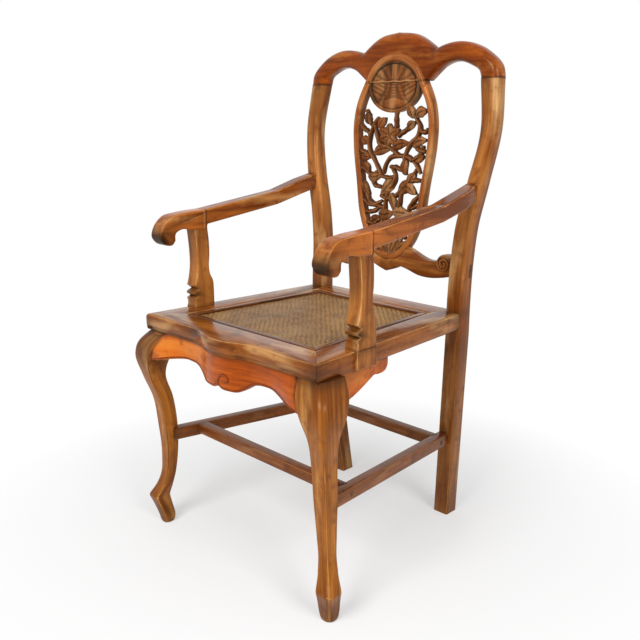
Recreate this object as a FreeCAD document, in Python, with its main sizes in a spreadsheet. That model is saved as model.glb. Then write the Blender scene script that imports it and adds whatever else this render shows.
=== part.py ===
import FreeCAD, Part
import Sketcher
import math
import os

doc = FreeCAD.newDocument("carved_chair")
sheet = doc.addObject("Spreadsheet::Sheet", "Sizes")
nodes = []
tolerance = 1e-3

# Driving sizes in millimetres. +X is the viewer's right, -Y the front, +Z up from the floor.
driving = {
    # Seat frame, cane and battens
    "seat_height": 485, "seat_front_width": 497, "seat_rear_width": 431, "seat_front": 251.5,
    "seat_depth": 449.5, "seat_bulge": 21, "bulge_width": 200, "frame_thick": 34, "front_rail_width": 60.5,
    "side_rail_width": 58, "rear_rail_width": 62, "rear_corner": 35, "step_margin": 30, "step_depth": 6,
    "step_height": 8, "ledge_width": 12, "ledge_drop": 9, "cane_thick": 3.5, "strip_width": 11,
    "strip_thick": 5, "batten_width": 30, "batten_thick": 16, "batten_spacing": 130, "batten_drop": 8,
    # Joinery
    "joint_gap": 0.3, "cut_past": 2, "tenon_thick": 12, "tenon_root": 4, "rail_tenon": 22, "stub_length": 10,
    "peg_diameter": 6,
    # Posts and crest
    "post_side": 37, "post_chamfer": 4, "post_block": 15, "post_stand": 1.5, "post_splay": 38,
    "post_rake": 38, "back_height": 465, "post_swell": 43, "post_lean": 33, "post_top_width": 44,
    "crest_rise": 99.4, "crest_thick": 37, "crest_chamfer": 8, "relief_depth": 2,
    # Splat and lower back rail
    "splat_rise": 85, "splat_width": 224, "splat_thick": 20, "splat_lean": 12, "splat_set_back": 4,
    "rim_width": 17, "rim_chamfer": 4, "rim_lap": 2, "web_thick": 10, "medallion_width": 126,
    "medallion_drop": 10, "low_rail_thick": 26, "low_rail_drop": 26, "low_rail_set_back": 15,
    "volute_diameter": 40,
    # Arms and their supports
    "arm_height": 205, "arm_width": 36, "arm_thick": 31, "arm_rise": 27, "arm_rear_run": 109, "arm_crease": 9,
    "arm_post_offset": 12, "support_width": 32, "support_depth": 34, "support_flare": 9, "support_lap": 6,
    "support_stand": 7.86, "support_from_front": 127.5,
    # Legs, aprons and stretchers
    "leg_foot_out": 6.1, "leg_foot_back": 26.6, "leg_splay": 0.032, "apron_thick": 18, "apron_depth": 58,
    "apron_set_back": 8, "side_apron_length": 212, "bar_width": 22, "bar_height": 24, "bar_round": 3,
    "bar_front": 226, "bar_rear": 205, "cross_height": 20, "front_cross_back": 104.5, "rear_cross_ahead": 12,
}
for row, (alias, value) in enumerate(driving.items(), 1):
    sheet.set("A%d" % row, alias)
    sheet.set("B%d" % row, str(value))
    sheet.setAlias("B%d" % row, alias)
doc.recompute()


class Bound:
    """A length that carries its value and the sheet formula it came from."""

    def __init__(self, value, text):
        self.value = value
        self.text = text

    def __float__(self):
        return float(self.value)

    def __neg__(self):
        return 0 - self

    def __add__(self, other):
        return Bound(self.value + float(other), "(%s + %s)" % (self.text, formula(other)))

    def __sub__(self, other):
        return Bound(self.value - float(other), "(%s - %s)" % (self.text, formula(other)))

    def __rsub__(self, other):
        return Bound(float(other) - self.value, "(%s - %s)" % (formula(other), self.text))

    def __mul__(self, other):
        return Bound(self.value * float(other), "(%s * %s)" % (self.text, formula(other)))

    def __truediv__(self, other):
        return Bound(self.value / float(other), "(%s / %s)" % (self.text, formula(other)))

    __radd__ = __add__
    __rmul__ = __mul__


def formula(length):
    return length.text if isinstance(length, Bound) else repr(float(length))


def size(alias):
    return Bound(float(sheet.get(alias)), "Sizes." + alias)


def at(point):
    return FreeCAD.Vector(*[float(c) for c in point])


def box(low, high, grow=0.0):
    low = at(low) - FreeCAD.Vector(grow, grow, grow)
    high = at(high) + FreeCAD.Vector(grow, grow, grow)
    span = high - low
    return Part.makeBox(span.x, span.y, span.z, low)


def rod(diameter, length, start, along):
    return Part.makeCylinder(float(diameter) / 2, float(length), at(start), at(along))


def spline(points):
    curve = Part.BSplineCurve()
    curve.interpolate([at(p) for p in points])
    return curve.toShape()


def lines(points):
    corners = [at(p) for p in points]
    return [Part.makeLine(a, b) for a, b in zip(corners, corners[1:])]


def moved(shape, by):
    copy = shape.copy()
    copy.translate(at(by))
    return copy


def outline(edges):
    return Part.Wire(Part.sortEdges(edges)[0])


def prism(edges, along):
    return Part.Face(outline(edges)).extrude(at(along))


def plate(points, along):
    return prism(lines(points + points[:1]), along)


def board(edges, along):
    ring = outline(edges)
    return Part.makeLoft([ring, moved(ring, along)], True, True)


def mirrored(shape):
    return shape.mirror(at((0, 0, 0)), at((1, 0, 0)))


def largest(shape):
    return max(shape.Solids, key=lambda solid: solid.Volume)


def without(shape, *tools):
    for tool in tools:
        shape = shape.cut(tool)
    return largest(shape)


def joined(shape, *others):
    for other in others:
        shape = shape.fuse(other)
    return largest(shape.removeSplitter())


def add(label, shape):
    feature = doc.addObject("Part::Feature", label)
    feature.Label = label
    feature.Shape = shape
    nodes.append(feature)
    return feature


def add_mirror(right):
    left = doc.addObject("Part::Mirroring", right.Label.replace("right", "left"))
    left.Label = right.Label.replace("right", "left")
    left.Source = right
    left.Normal = at((1, 0, 0))
    nodes.append(left)


def sketch_on(body, role, level, name):
    plane = [item for item in body.Origin.OriginFeatures if item.Role == role][0]
    sketch = body.newObject("Sketcher::SketchObject", name)
    sketch.AttachmentSupport = [(plane, "")]
    sketch.MapMode = "FlatFace"
    sketch.setExpression("AttachmentOffset.Base.z", formula(level))
    return sketch


def pin_point(sketch, edge, place, point):
    for axis, coordinate in zip("XY", point):
        number = sketch.addConstraint(Sketcher.Constraint("Distance" + axis, -1, 1, edge, place,
                                                          float(coordinate)))
        sketch.setExpression("Constraints[%d]" % number, formula(coordinate))


def draw_polygon(sketch, corners):
    count = len(corners)
    for i in range(count):
        ends = [FreeCAD.Vector(float(p[0]), float(p[1]), 0) for p in (corners[i], corners[(i + 1) % count])]
        sketch.addGeometry(Part.LineSegment(*ends))
    for i in range(count):
        sketch.addConstraint(Sketcher.Constraint("Coincident", i, 2, (i + 1) % count, 1))
        pin_point(sketch, i, 1, corners[i])


def draw_circle(sketch, centre, diameter):
    middle = FreeCAD.Vector(float(centre[0]), float(centre[1]), 0)
    sketch.addGeometry(Part.Circle(middle, FreeCAD.Vector(0, 0, 1), float(diameter) / 2))
    pin_point(sketch, 0, 3, centre)
    number = sketch.addConstraint(Sketcher.Constraint("Diameter", 0, float(diameter)))
    sketch.setExpression("Constraints[%d]" % number, formula(diameter))


def new_body(label):
    body = doc.addObject("PartDesign::Body", label)
    body.Label = label
    nodes.append(body)
    return body


def pad(body, corners, low, high):
    sketch = sketch_on(body, "XY_Plane", low, body.Label + "_plan")
    draw_polygon(sketch, corners)
    feature = body.newObject("PartDesign::Pad", body.Label + "_pad")
    feature.Profile = sketch
    feature.setExpression("Length", formula(high - low))
    sketch.Visibility = False


def pocket(body, corners, low, high):
    sketch = sketch_on(body, "XY_Plane", high, body.Label + "_cut_plan")
    draw_polygon(sketch, corners)
    feature = body.newObject("PartDesign::Pocket", body.Label + "_cut")
    feature.Profile = sketch
    feature.setExpression("Length", formula(high - low))
    sketch.Visibility = False


def cross_hole(body, centre, diameter):
    sketch = sketch_on(body, "YZ_Plane", 0, body.Label + "_hole_plan")
    draw_circle(sketch, centre, diameter)
    feature = body.newObject("PartDesign::Pocket", body.Label + "_hole")
    feature.Profile = sketch
    feature.Type = "ThroughAll"
    feature.Midplane = True
    sketch.Visibility = False


def rectangle(low_x, high_x, low_y, high_y):
    return [(low_x, low_y), (high_x, low_y), (high_x, high_y), (low_x, high_y)]


def softened(shape, radius, is_edge):
    return shape.makeFillet(float(radius), [edge for edge in shape.Edges if is_edge(edge)])


def on_plane(axis, *levels):
    places = [float(level) for level in levels]

    def lies_there(edge):
        bounds = edge.BoundBox
        low, high = getattr(bounds, axis + "Min"), getattr(bounds, axis + "Max")
        return high - low < tolerance and any(abs(low - place) < tolerance for place in places)

    return lies_there


# Seat plan: a trapezium of four rails round the cane, its rear corners taken by the posts.
gap = size("joint_gap")
seat_top = size("seat_height")
frame_thick = size("frame_thick")
seat_low = seat_top - frame_thick
ledge_top = seat_top - size("ledge_drop")
front = -size("seat_front")
post_front = front + size("seat_depth")
front_x = size("seat_front_width") / 2
taper = (size("seat_front_width") - size("seat_rear_width")) / 2 / size("seat_depth")
post_side = size("post_side")
post_out = size("seat_rear_width") / 2 + size("post_stand")
post_in = post_out - post_side
inner_front = front + size("front_rail_width")
inner_rear = post_front - size("rear_corner")
ledge = size("ledge_width")
no_inset = 0 * ledge
tenon = size("tenon_thick")
root = size("tenon_root")
peg = size("peg_diameter")
peg_hole = peg + 2 * gap


def outer_x(y):
    return front_x - (y - front) * taper


def inner_x(y, inset):
    return outer_x(y) - size("side_rail_width") - inset


def rail_corners(inset):
    y_front = inner_front + inset
    y_rear = inner_rear - inset
    return (inner_x(y_front, inset), y_front), (inner_x(y_rear, inset), y_rear)


# Posts: rear leg and back upright in one length, raked below the seat and swelling above it.
# Each upper row gives shares of the back's height, of the swell outward, of the lean back and of the way
# from the leg's chamfer to the crest's.
post_block = size("post_block")
post_low = seat_low - post_block
post_high = seat_top + post_block
post_top = seat_top + size("back_height")
back_rows = [(0.25, 0.05, 0.12, 0), (0.38, 0.19, 0.16, 0.1), (0.57, 0.63, 0.3, 0.4), (0.785, 1, 0.65, 0.9),
             (1, 0.86, 1, 1)]
leg_edge = size("post_chamfer")
foot_x = post_out - size("post_splay")
foot_y = post_front + size("post_rake")
post_stations = [(0 * seat_top, foot_x, foot_y, post_side, leg_edge),
                 (post_low, post_out, post_front, post_side, leg_edge),
                 (post_high, post_out, post_front, post_side, leg_edge)]
for up, swell, lean, soft in back_rows:
    post_stations.append((seat_top + size("back_height") * up, post_out + size("post_swell") * swell,
                          post_front + size("post_lean") * lean, post_side,
                          leg_edge + (size("crest_chamfer") - leg_edge) * soft))
_, top_out, top_front, _, top_edge = post_stations[-1]
top_width = size("post_top_width")
post_stations[-1] = (post_top, top_out, top_front, top_width, top_edge)


def chamfered_square(low, high, z, cut):
    (x0, y0), (x1, y1) = low, high
    ring = [(x0 + cut, y0), (x1 - cut, y0), (x1, y0 + cut), (x1, y1 - cut), (x1 - cut, y1), (x0 + cut, y1),
            (x0, y1 - cut), (x0, y0 + cut)]
    return Part.makePolygon([at((x, y, z)) for x, y in ring + ring[:1]])


post_sections = [chamfered_square((x - wide, y), (x, y + post_side), z, edge)
                 for z, x, y, wide, edge in post_stations]
post_raw = joined(Part.makeLoft(post_sections[:2], True), Part.makeLoft(post_sections[1:], True))
post_top_x = top_out - top_width / 2
post_top_y = top_front + post_side / 2

# Front legs: the same S is sawn from both faces of a square block: pad foot, out-turned lip, ankle, knee.
# Each row gives height, reach of the outer arris along the seat diagonal, and side of the section.
diagonal = math.sqrt(0.5)
leg_stations = [(0, 13, 20), (16, 16, 22.5), (40, 25, 27), (66, 36.7, 34), (90, 21, 29), (115, 8.8, 25),
                (160, 3.4, 26.4), (230, 6.5, 31), (300, 16.5, 33.3), (350, 37, 39), (400, 50, 58),
                (424, 42, 60), (451, 12, 50)]
leg_scale = seat_low / leg_stations[-1][0]


def leg_square(station):
    z, reach, side = station
    height = leg_scale * z
    x = front_x + size("leg_foot_out") + (reach - size("leg_splay") * height) * diagonal
    y = front + size("leg_foot_back") - (reach + size("leg_splay") * height) * diagonal
    return (x - side, y), (x, y + side), height


def leg_at(height):
    for below, above in zip(leg_stations, leg_stations[1:]):
        share = (float(height) / float(leg_scale) - below[0]) / (above[0] - below[0])
        if share <= 1:
            break
    return leg_square([a + (b - a) * share for a, b in zip(below, above)])


def sawn(one, other, along):
    ends = lines([one[0], other[0]]) + lines([one[-1], other[-1]])
    return board([spline(one), spline(other)] + ends, along)


leg_squares = [leg_square(station) for station in leg_stations]
ahead_of_leg = front - size("seat_depth") / 2
front_view = [[(corners[side][0], ahead_of_leg, corners[2]) for corners in leg_squares] for side in (0, 1)]
side_view = [[(0, corners[side][1], corners[2]) for corners in leg_squares] for side in (0, 1)]
front_cut = sawn(*front_view, (0, size("seat_depth"), 0))
side_cut = sawn(*side_view, (2 * front_x, 0, 0))
leg_raw = largest(front_cut.common(side_cut))
(leg_x0, leg_y0), (leg_x1, leg_y1), _ = leg_squares[-1]
leg_mid = ((leg_x0 + leg_x1) / 2, (leg_y0 + leg_y1) / 2)
leg_tenon_top = seat_low + frame_thick * 0.26
leg_tenon = ((leg_mid[0] - tenon, leg_mid[1] - tenon, seat_low - root),
             (leg_mid[0] + tenon, leg_mid[1] + tenon, leg_tenon_top))

# Side rails, mitred to the front rail and tenoned into the posts.
support_y = front + size("support_from_front")
support_width = size("support_width")
support_out = outer_x(support_y) + size("support_stand")
support_x = support_out - support_width / 2
foot_half = size("support_depth") / 2 + size("support_flare")
lap_x = outer_x(support_y) - size("support_lap")
corner_tenon_low = seat_low + frame_thick * 0.36
corner_tenon_high = seat_low + frame_thick * 0.65
corner_tenon_y = (front + size("front_rail_width") * 0.28, front + size("front_rail_width") * 0.68)
rail_tenon_low = seat_low + frame_thick * 0.3
rail_tenon_high = seat_top - frame_thick * 0.3
side_tenon_x = (post_in + post_out) / 2
rail_end = post_front - gap
peg_y = post_front + size("rail_tenon") / 2
peg_z = (rail_tenon_low + rail_tenon_high) / 2
past = size("cut_past")
mitre = inner_x(inner_rear, no_inset)
side_rail = new_body("seat_rail_right")
for inset, low, high in ((ledge, seat_low, ledge_top), (no_inset, ledge_top, seat_top)):
    ring = [(front_x, front), (outer_x(rail_end), rail_end), (post_in, rail_end), (mitre, inner_rear)]
    inner_corners = list(reversed(rail_corners(inset)))
    if inset is ledge:
        ring += inner_corners + [rail_corners(no_inset)[0]]
    else:
        ring.append(inner_corners[1])
    pad(side_rail, ring, low, high)
side_tenon = rectangle(side_tenon_x - tenon / 2, side_tenon_x + tenon / 2, rail_end - root,
                       post_front + size("rail_tenon"))
pad(side_rail, side_tenon, rail_tenon_low, rail_tenon_high)
pocket(side_rail, rectangle(inner_x(inner_front, ledge), front_x + past, corner_tenon_y[0] - gap,
                            corner_tenon_y[1] + gap),
       corner_tenon_low - gap, corner_tenon_high + gap)
pocket(side_rail, rectangle(leg_tenon[0][0] - gap, leg_tenon[1][0] + gap, leg_tenon[0][1] - gap,
                            leg_tenon[1][1] + gap),
       seat_low - past, leg_tenon_top + gap)
pocket(side_rail, rectangle(lap_x - gap, front_x + past, support_y - foot_half - gap,
                            support_y + foot_half + gap),
       seat_low - past, seat_top + past)
cross_hole(side_rail, (peg_y, peg_z), peg_hole)
doc.recompute()
add_mirror(side_rail)

# Rear rail between the posts.
rear_back = inner_rear + size("rear_rail_width")
rear_rail = new_body("seat_rail_rear")
for inset, low, high in ((ledge, seat_low, ledge_top), (no_inset, ledge_top, seat_top)):
    half = [(mitre, inner_rear), (post_in - gap, post_front), (post_in - gap, rear_back)]
    if inset is ledge:
        half.insert(0, rail_corners(inset)[1])
    pad(rear_rail, half + [(-x, y) for x, y in reversed(half)], low, high)
rear_tenon = ((post_in - root, post_front + tenon, rail_tenon_low),
              (post_in + tenon, post_front + 2 * tenon, rail_tenon_high))
for side in (-1, 1):
    ends = sorted((rear_tenon[0][0] * side, rear_tenon[1][0] * side), key=float)
    pad(rear_rail, rectangle(ends[0], ends[1], rear_tenon[0][1], rear_tenon[1][1]), rail_tenon_low,
        rail_tenon_high)
batten_top = ledge_top - size("batten_drop")
batten_low = batten_top - size("batten_thick")
batten_x = size("batten_spacing") / 2
stub_half = size("batten_width") / 4
stub_long = size("stub_length")
batten_tenon = (batten_low + size("batten_thick") / 4, batten_top - size("batten_thick") / 4)
ledge_front = inner_front + ledge
ledge_rear = inner_rear - ledge
for side in (-1, 1):
    pocket(rear_rail, rectangle(side * batten_x - stub_half - gap, side * batten_x + stub_half + gap,
                                ledge_rear - past, ledge_rear + stub_long + gap),
           batten_tenon[0] - gap, batten_tenon[1] + gap)


# Front rail: its outer edge runs straight, hollow, then swells at the middle; a step is worked under it.
def serpentine(back):
    quarter = float(size("bulge_width")) / 4
    half_depth = float(size("seat_bulge")) / 2
    radius = (quarter ** 2 + half_depth ** 2) / (2 * half_depth)
    turn = math.asin(quarter / radius)
    start = float(front + back)
    hollow = [(2 * quarter - radius * math.sin(turn * s), start - radius * (1 - math.cos(turn * s)))
              for s in (0, 0.5, 1)]
    right = Part.Arc(*[at((x, y, 0)) for x, y in hollow]).toShape()
    left = Part.Arc(*[at((-x, y, 0)) for x, y in hollow]).toShape()
    x, y = hollow[2]
    crown = at((0, start - 2 * half_depth, 0))
    middle = Part.Arc(at((-x, y, 0)), crown, at((x, y, 0))).toShape()
    return left, middle, right, 2 * quarter, start


def serpentine_prism(half, back, low, high):
    left, middle, right, reach, start = serpentine(back)
    path = [(reach, start)] + half + [(-x, y) for x, y in reversed(half)] + [(-reach, start)]
    plan = [left, middle, right] + lines([(x, y, 0) for x, y in path])
    return moved(prism(plan, (0, 0, high - low)), (0, 0, low))


layers = []
for inset, low, high in ((ledge, seat_low, ledge_top), (no_inset, ledge_top, seat_top)):
    half = [(front_x, front), rail_corners(no_inset)[0]]
    if inset is ledge:
        half.append(rail_corners(inset)[0])
    layers.append(serpentine_prism(half, 0, low, high))
step_x = front_x - size("step_margin")
step_deep = size("step_depth")
step_top = seat_low + size("step_height")
ahead_of_seat = front - 2 * size("seat_bulge")
step = serpentine_prism([(step_x, front + step_deep), (step_x, ahead_of_seat)], step_deep, seat_low,
                        step_top)
corner_tenon = box((inner_x(inner_front, ledge), corner_tenon_y[0], corner_tenon_low),
                   (front_x + past, corner_tenon_y[1], corner_tenon_high))
mitre_block = plate([(front_x, front, seat_low), (outer_x(inner_front), inner_front, seat_low),
                     (inner_x(inner_front, 0), inner_front, seat_low)], (0, 0, frame_thick))
corner_tenon = corner_tenon.common(mitre_block)
front_cuts = [step]
for side in (-1, 1):
    front_cuts.append(box((side * batten_x - stub_half, ledge_front - stub_long, batten_tenon[0]),
                          (side * batten_x + stub_half, ledge_front + past, batten_tenon[1]), float(gap)))
leg_mortise = box(*leg_tenon, float(gap))
front_cuts += [leg_mortise, mirrored(leg_mortise)]
front_rail = without(joined(layers[0], layers[1], corner_tenon, mirrored(corner_tenon)), *front_cuts)
add("seat_rail_front", front_rail)

# Cane panel on the ledge, four mitred strips over its edge, two battens under it.
cane_top = ledge_top + size("cane_thick")
strip_top = cane_top + size("strip_thick")
cane = new_body("cane_panel")
(cane_fx, cane_fy), (cane_rx, cane_ry) = rail_corners(gap)
pad(cane, [(-cane_fx, cane_fy), (cane_fx, cane_fy), (cane_rx, cane_ry), (-cane_rx, cane_ry)], ledge_top,
    cane_top)
(in_fx, in_fy), (in_rx, in_ry) = rail_corners(gap + size("strip_width"))
strip_plans = {
    "cane_strip_front": [(-cane_fx, cane_fy), (cane_fx, cane_fy), (in_fx, in_fy), (-in_fx, in_fy)],
    "cane_strip_rear": [(-in_rx, in_ry), (in_rx, in_ry), (cane_rx, cane_ry), (-cane_rx, cane_ry)],
    "cane_strip_right": [(in_fx, in_fy), (cane_fx, cane_fy), (cane_rx, cane_ry), (in_rx, in_ry)],
}
for label, corners in strip_plans.items():
    strip = new_body(label)
    pad(strip, corners, cane_top, strip_top)
add_mirror(strip)
batten = new_body("seat_batten_right")
half_batten = size("batten_width") / 2
pad(batten, rectangle(batten_x - half_batten, batten_x + half_batten, ledge_front, ledge_rear), batten_low,
    batten_top)
pad(batten, rectangle(batten_x - stub_half, batten_x + stub_half, ledge_front - stub_long,
                      ledge_rear + stub_long),
    batten_tenon[0], batten_tenon[1])
add_mirror(batten)

# Aprons: the front one follows the seat's swell and hangs in a lobed edge, the side ones are short brackets.
# Their edges are drawn as shares of half the front's width, of the bracket's length and of the apron's depth.
apron_depth = size("apron_depth")
apron_thick = size("apron_thick")
apron_front = size("apron_set_back")
apron_back = apron_front + apron_thick
front_lobe = [(0, 0.97), (0.032, 1.09), (0.113, 1.13), (0.193, 1.1), (0.233, 1.02)]
front_sweep = [(0.233, 1.02), (0.322, 0.79), (0.463, 0.71), (0.644, 0.79), (0.805, 0.95), (0.966, 1.07)]
edge_runs = [[(front_x * x, 0, seat_low - apron_depth * z) for x, z in run] for run in (front_lobe,
                                                                                        front_sweep)]
edge_start = edge_runs[0][0]
edge_end = edge_runs[1][-1]
apron_half = [spline(run) for run in edge_runs]
apron_half += lines([edge_end, (edge_end[0], 0, seat_low), (0, 0, seat_low), edge_start])
apron_face = board(apron_half, (0, ahead_of_seat, 0))
apron_face = apron_face.fuse(mirrored(apron_face)).removeSplitter()
behind_apron = inner_front
apron_ply = [serpentine_prism([(front_x, front + back), (front_x, behind_apron)], back, 0 * seat_low,
                              seat_low)
             for back in (apron_front, apron_back)]
apron_shape = apron_ply[0].cut(apron_ply[1]).common(apron_face)
apron_shape = without(apron_shape, moved(leg_raw, (-gap, 0, 0)), moved(mirrored(leg_raw), (gap, 0, 0)))
apron_tenon_y = front + apron_back - apron_thick / 2
apron_tenon_half = apron_thick * 0.22
apron_tenon_z = (seat_low - apron_depth * 0.65, seat_low - apron_depth * 0.17)
apron_tenon = ((leg_x0 - root, apron_tenon_y - apron_tenon_half, apron_tenon_z[0]),
               (leg_x0 + size("rail_tenon"), apron_tenon_y + apron_tenon_half, apron_tenon_z[1]))
apron_tongue = box(*apron_tenon)
add("front_apron", joined(apron_shape, apron_tongue, mirrored(apron_tongue)))
bracket_length = size("side_apron_length")
bracket_end = front + bracket_length
bracket_nose = [(0, 0.29), (0.028, 0.45), (0.132, 0.52), (0.193, 0.48)]
bracket_sweep = [(0.193, 0.48), (0.5, 0.93), (0.759, 1.1), (0.896, 1.14)]
nose_run, sweep_run = [[(0, bracket_end - bracket_length * y, seat_low - apron_depth * z) for y, z in run]
                       for run in (bracket_nose, bracket_sweep)]
bracket_edges = [spline(nose_run), spline(sweep_run)]
bracket_edges += lines([sweep_run[-1], (0, sweep_run[-1][1], seat_low), (0, bracket_end, seat_low),
                        nose_run[0]])
side_apron = moved(board(bracket_edges, (-apron_thick, 0, 0)), (outer_x(bracket_end) - apron_front, 0, 0))
side_apron.rotate(at((outer_x(bracket_end), bracket_end, 0)), at((0, 0, 1)),
                  math.degrees(math.atan(float(taper))))
side_apron = without(side_apron, moved(leg_raw, (0, gap, 0)))
side_apron_x = outer_x(leg_y1) - apron_front - apron_thick / 2
side_apron_tenon = ((side_apron_x - apron_tenon_half, leg_y1 - size("rail_tenon"), apron_tenon_z[0]),
                    (side_apron_x + apron_tenon_half, leg_y1 + root, apron_tenon_z[1]))
add_mirror(add("side_apron_right", joined(side_apron, box(*side_apron_tenon))))

# Stretchers: side bars fall slightly to the rear; cross bars are tenoned right through them.
bar_width = size("bar_width")
bar_height = size("bar_height")
bar_round = size("bar_round")
bar_front_z = size("bar_front") - bar_height / 2
bar_rear_z = size("bar_rear") - bar_height / 2
(bar_leg_x, _), (_, bar_leg_y), _ = leg_at(bar_front_z)
rear_share = bar_rear_z / post_low
bar_x0 = bar_leg_x + bar_width / 4
bar_x1 = foot_x + (post_out - foot_x) * rear_share - post_side * 0.6
bar_y0 = bar_leg_y - root
bar_y1 = foot_y - (foot_y - post_front) * rear_share + post_side * 0.54


def bar_at(y):
    share = (y - bar_y0) / (bar_y1 - bar_y0)
    return bar_x0 + (bar_x1 - bar_x0) * share, bar_front_z + (bar_rear_z - bar_front_z) * share


bar_half = (bar_width / 2, bar_height / 2)
bar_section = [(bar_x0 + x * bar_half[0], bar_y0, bar_front_z + z * bar_half[1])
               for x, z in ((-1, -1), (1, -1), (1, 1), (-1, 1))]
bar_run = at((bar_x1 - bar_x0, bar_y1 - bar_y0, bar_rear_z - bar_front_z))
bar_long = plate(bar_section, (bar_run.x, bar_run.y, bar_run.z))
bar_long = softened(bar_long, bar_round, lambda edge: abs(edge.Length - bar_run.Length) < tolerance)
bar_raw = without(bar_long, moved(leg_raw, (0, gap, 0)), moved(post_raw, (0, -gap, 0)))
pin_half = tenon * 0.42
bar_tenon_half = bar_height * 0.29
bar_tenon_x = bar_x0 + bar_width * 0.18
bar_tenons = [((bar_tenon_x - pin_half, bar_leg_y - size("rail_tenon"), bar_front_z - bar_tenon_half),
               (bar_tenon_x + pin_half, bar_leg_y + root, bar_front_z + bar_tenon_half)),
              ((bar_x1 - pin_half, bar_y1 - size("rail_tenon") - root, bar_rear_z - bar_tenon_half),
               (bar_x1 + pin_half, bar_y1, bar_rear_z + bar_tenon_half))]
cross_mortises = []
for label, cross_y in (("front_stretcher", front + size("front_cross_back")),
                       ("rear_stretcher", post_front - size("rear_cross_ahead"))):
    cross_x, cross_z = bar_at(cross_y)
    top = cross_z + bar_half[1]
    beam = box((-cross_x, cross_y - bar_half[0], top - size("cross_height")),
               (cross_x, cross_y + bar_half[0], top))
    beam = softened(beam, bar_round, lambda edge: edge.BoundBox.XLength > 2 * bar_width.value)
    beam = without(beam, bar_raw, mirrored(bar_raw))
    pin = ((cross_x - bar_width, cross_y - pin_half, cross_z - pin_half),
           (cross_x + bar_width, cross_y + pin_half, cross_z + pin_half))
    shoulder = (cross_x - bar_width / 4, pin[1][1], pin[1][2])
    stub = box(*pin).common(bar_raw).fuse(box(pin[0], shoulder))
    cross_mortises.append(box(*pin, float(gap)))
    add(label, joined(beam, stub, mirrored(stub)))
bar = without(joined(bar_raw, *[box(*ends) for ends in bar_tenons]), *cross_mortises)
add_mirror(add("side_stretcher_right", bar))

# Front legs, finished with the seat tenon and the mortises of the aprons and side bar.
leg = without(joined(leg_raw, box(*leg_tenon)), box(*apron_tenon, float(gap)),
              box(*side_apron_tenon, float(gap)), box(*bar_tenons[0], float(gap)))
add_mirror(add("front_leg_right", leg))

# Arms: a bar that steps up towards the post and ends in a down-turned scroll at the front.
# Points are (distance back from the seat's front, height over the arm's level) until the rear crease.
arm_z = seat_top + size("arm_height")
arm_width = size("arm_width")
arm_thick = size("arm_thick")
arm_post_x = post_out + size("arm_post_offset")
rear_run = size("arm_rear_run")
rear_slope = 0.284
crease_rear = (post_front - rear_run, size("arm_rise"))
crease_front = (support_y + size("arm_crease"), 0.5)
arm_end = post_front + post_side * 0.54
end_rise = (arm_end - crease_rear[0]) * rear_slope
scroll = [(80.5, -3), (47.5, -9), (26.5, -30), (21.5, -48), (36.5, -65), (52, -66), (59, -58)]
curl = [(59, -58), (60.5, -43), (74.5, -35), (116.5, -36)]
scroll_points = [crease_front] + [(front + y, z) for y, z in scroll]
curl_points = [(front + y, z) for y, z in curl]
under_rear = (crease_rear[0], crease_rear[1] - arm_thick)
under_front = (crease_front[0] + arm_thick / 4, 1 - arm_thick)
top_end = (arm_end, crease_rear[1] + end_rise)
low_end = (arm_end, under_rear[1] + end_rise * 0.87)


def arm_place(points):
    return [(arm_post_x - arm_width / 2, y, arm_z + z) for y, z in points]


arm_edges = lines(arm_place([top_end, crease_rear, crease_front]))
arm_edges += [spline(arm_place(scroll_points)), spline(arm_place(curl_points))]
arm_edges += lines(arm_place([curl_points[-1], under_front, under_rear, low_end, top_end]))
arm_block = board(arm_edges, (arm_width, 0, 0))
arm_turn = math.degrees(math.atan(float((support_x - arm_post_x) / (post_front - support_y))))


def arm_turned(shape):
    copy = shape.copy()
    copy.rotate(at((arm_post_x, post_front, 0)), at((0, 0, 1)), arm_turn)
    return copy


wedge_x = arm_post_x + arm_width / 2 + past
arm_wedge = plate([(wedge_x, post_front - post_side, seat_top), (wedge_x, post_front + post_side, seat_top),
                   (arm_post_x + past, post_front + post_side, seat_top)], (0, 0, 2 * size("arm_height")))
arm_block = arm_turned(arm_block)
arm_raw = without(arm_block, arm_wedge, moved(post_raw, (0, -gap, 0)))
arm_tenon_z = arm_z + crease_rear[1] + rear_run * rear_slope - arm_thick / 2
arm_tenon_x = arm_post_x - arm_width / 6
arm_tenon = ((arm_tenon_x - pin_half, post_front, arm_tenon_z - arm_thick * 0.29),
             (arm_tenon_x + pin_half, post_front + post_side * 0.75, arm_tenon_z + arm_thick * 0.29))
head_half = support_width * 0.22
head_tenon = ((support_x - head_half, support_y - tenon, arm_z - arm_thick * 1.65),
              (support_x + head_half, support_y + tenon, arm_z - arm_thick * 0.45))
arm_peg_start = (support_x - arm_width / 2, support_y, arm_z - arm_thick * 0.74)
arm_peg_long = arm_width * 0.72
arm_peg = rod(peg, arm_peg_long, arm_peg_start, (1, 0, 0))
arm_peg_hole = moved(rod(peg_hole, arm_peg_long + past + gap, arm_peg_start, (1, 0, 0)), (-past, 0, 0))
arm = without(joined(arm_raw, box(*arm_tenon)), box(*head_tenon, float(gap)), arm_peg_hole)
add_mirror(add("arm_right", arm))

# Arm supports: waisted uprights, nicked at the foot, lapped down over the outside of the side rail.
# Points are (offset from the waist line, share of the arm's height).
waist = size("support_depth") / 2
head = size("arm_height")
front_line = [(-9, 0.224), (-5, 0.288), (0, 0.42), (0.4, 0.551), (-1.5, 0.683), (-7, 0.902)]
rear_line = [(-6, 0.902), (0, 0.663), (0, 0.532), (-2, 0.4), (0, 0.332), (7, 0.263), (9, 0.151)]
nicks = [(-9, 0), (-8, 0.088), (-11, 0.146), (2, 0.176), (-9, 0.224)]


def support_place(points, side):
    return [(support_x - support_width / 2, support_y + side * waist + y, seat_top + head * z) for y,
            z in points]


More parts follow.
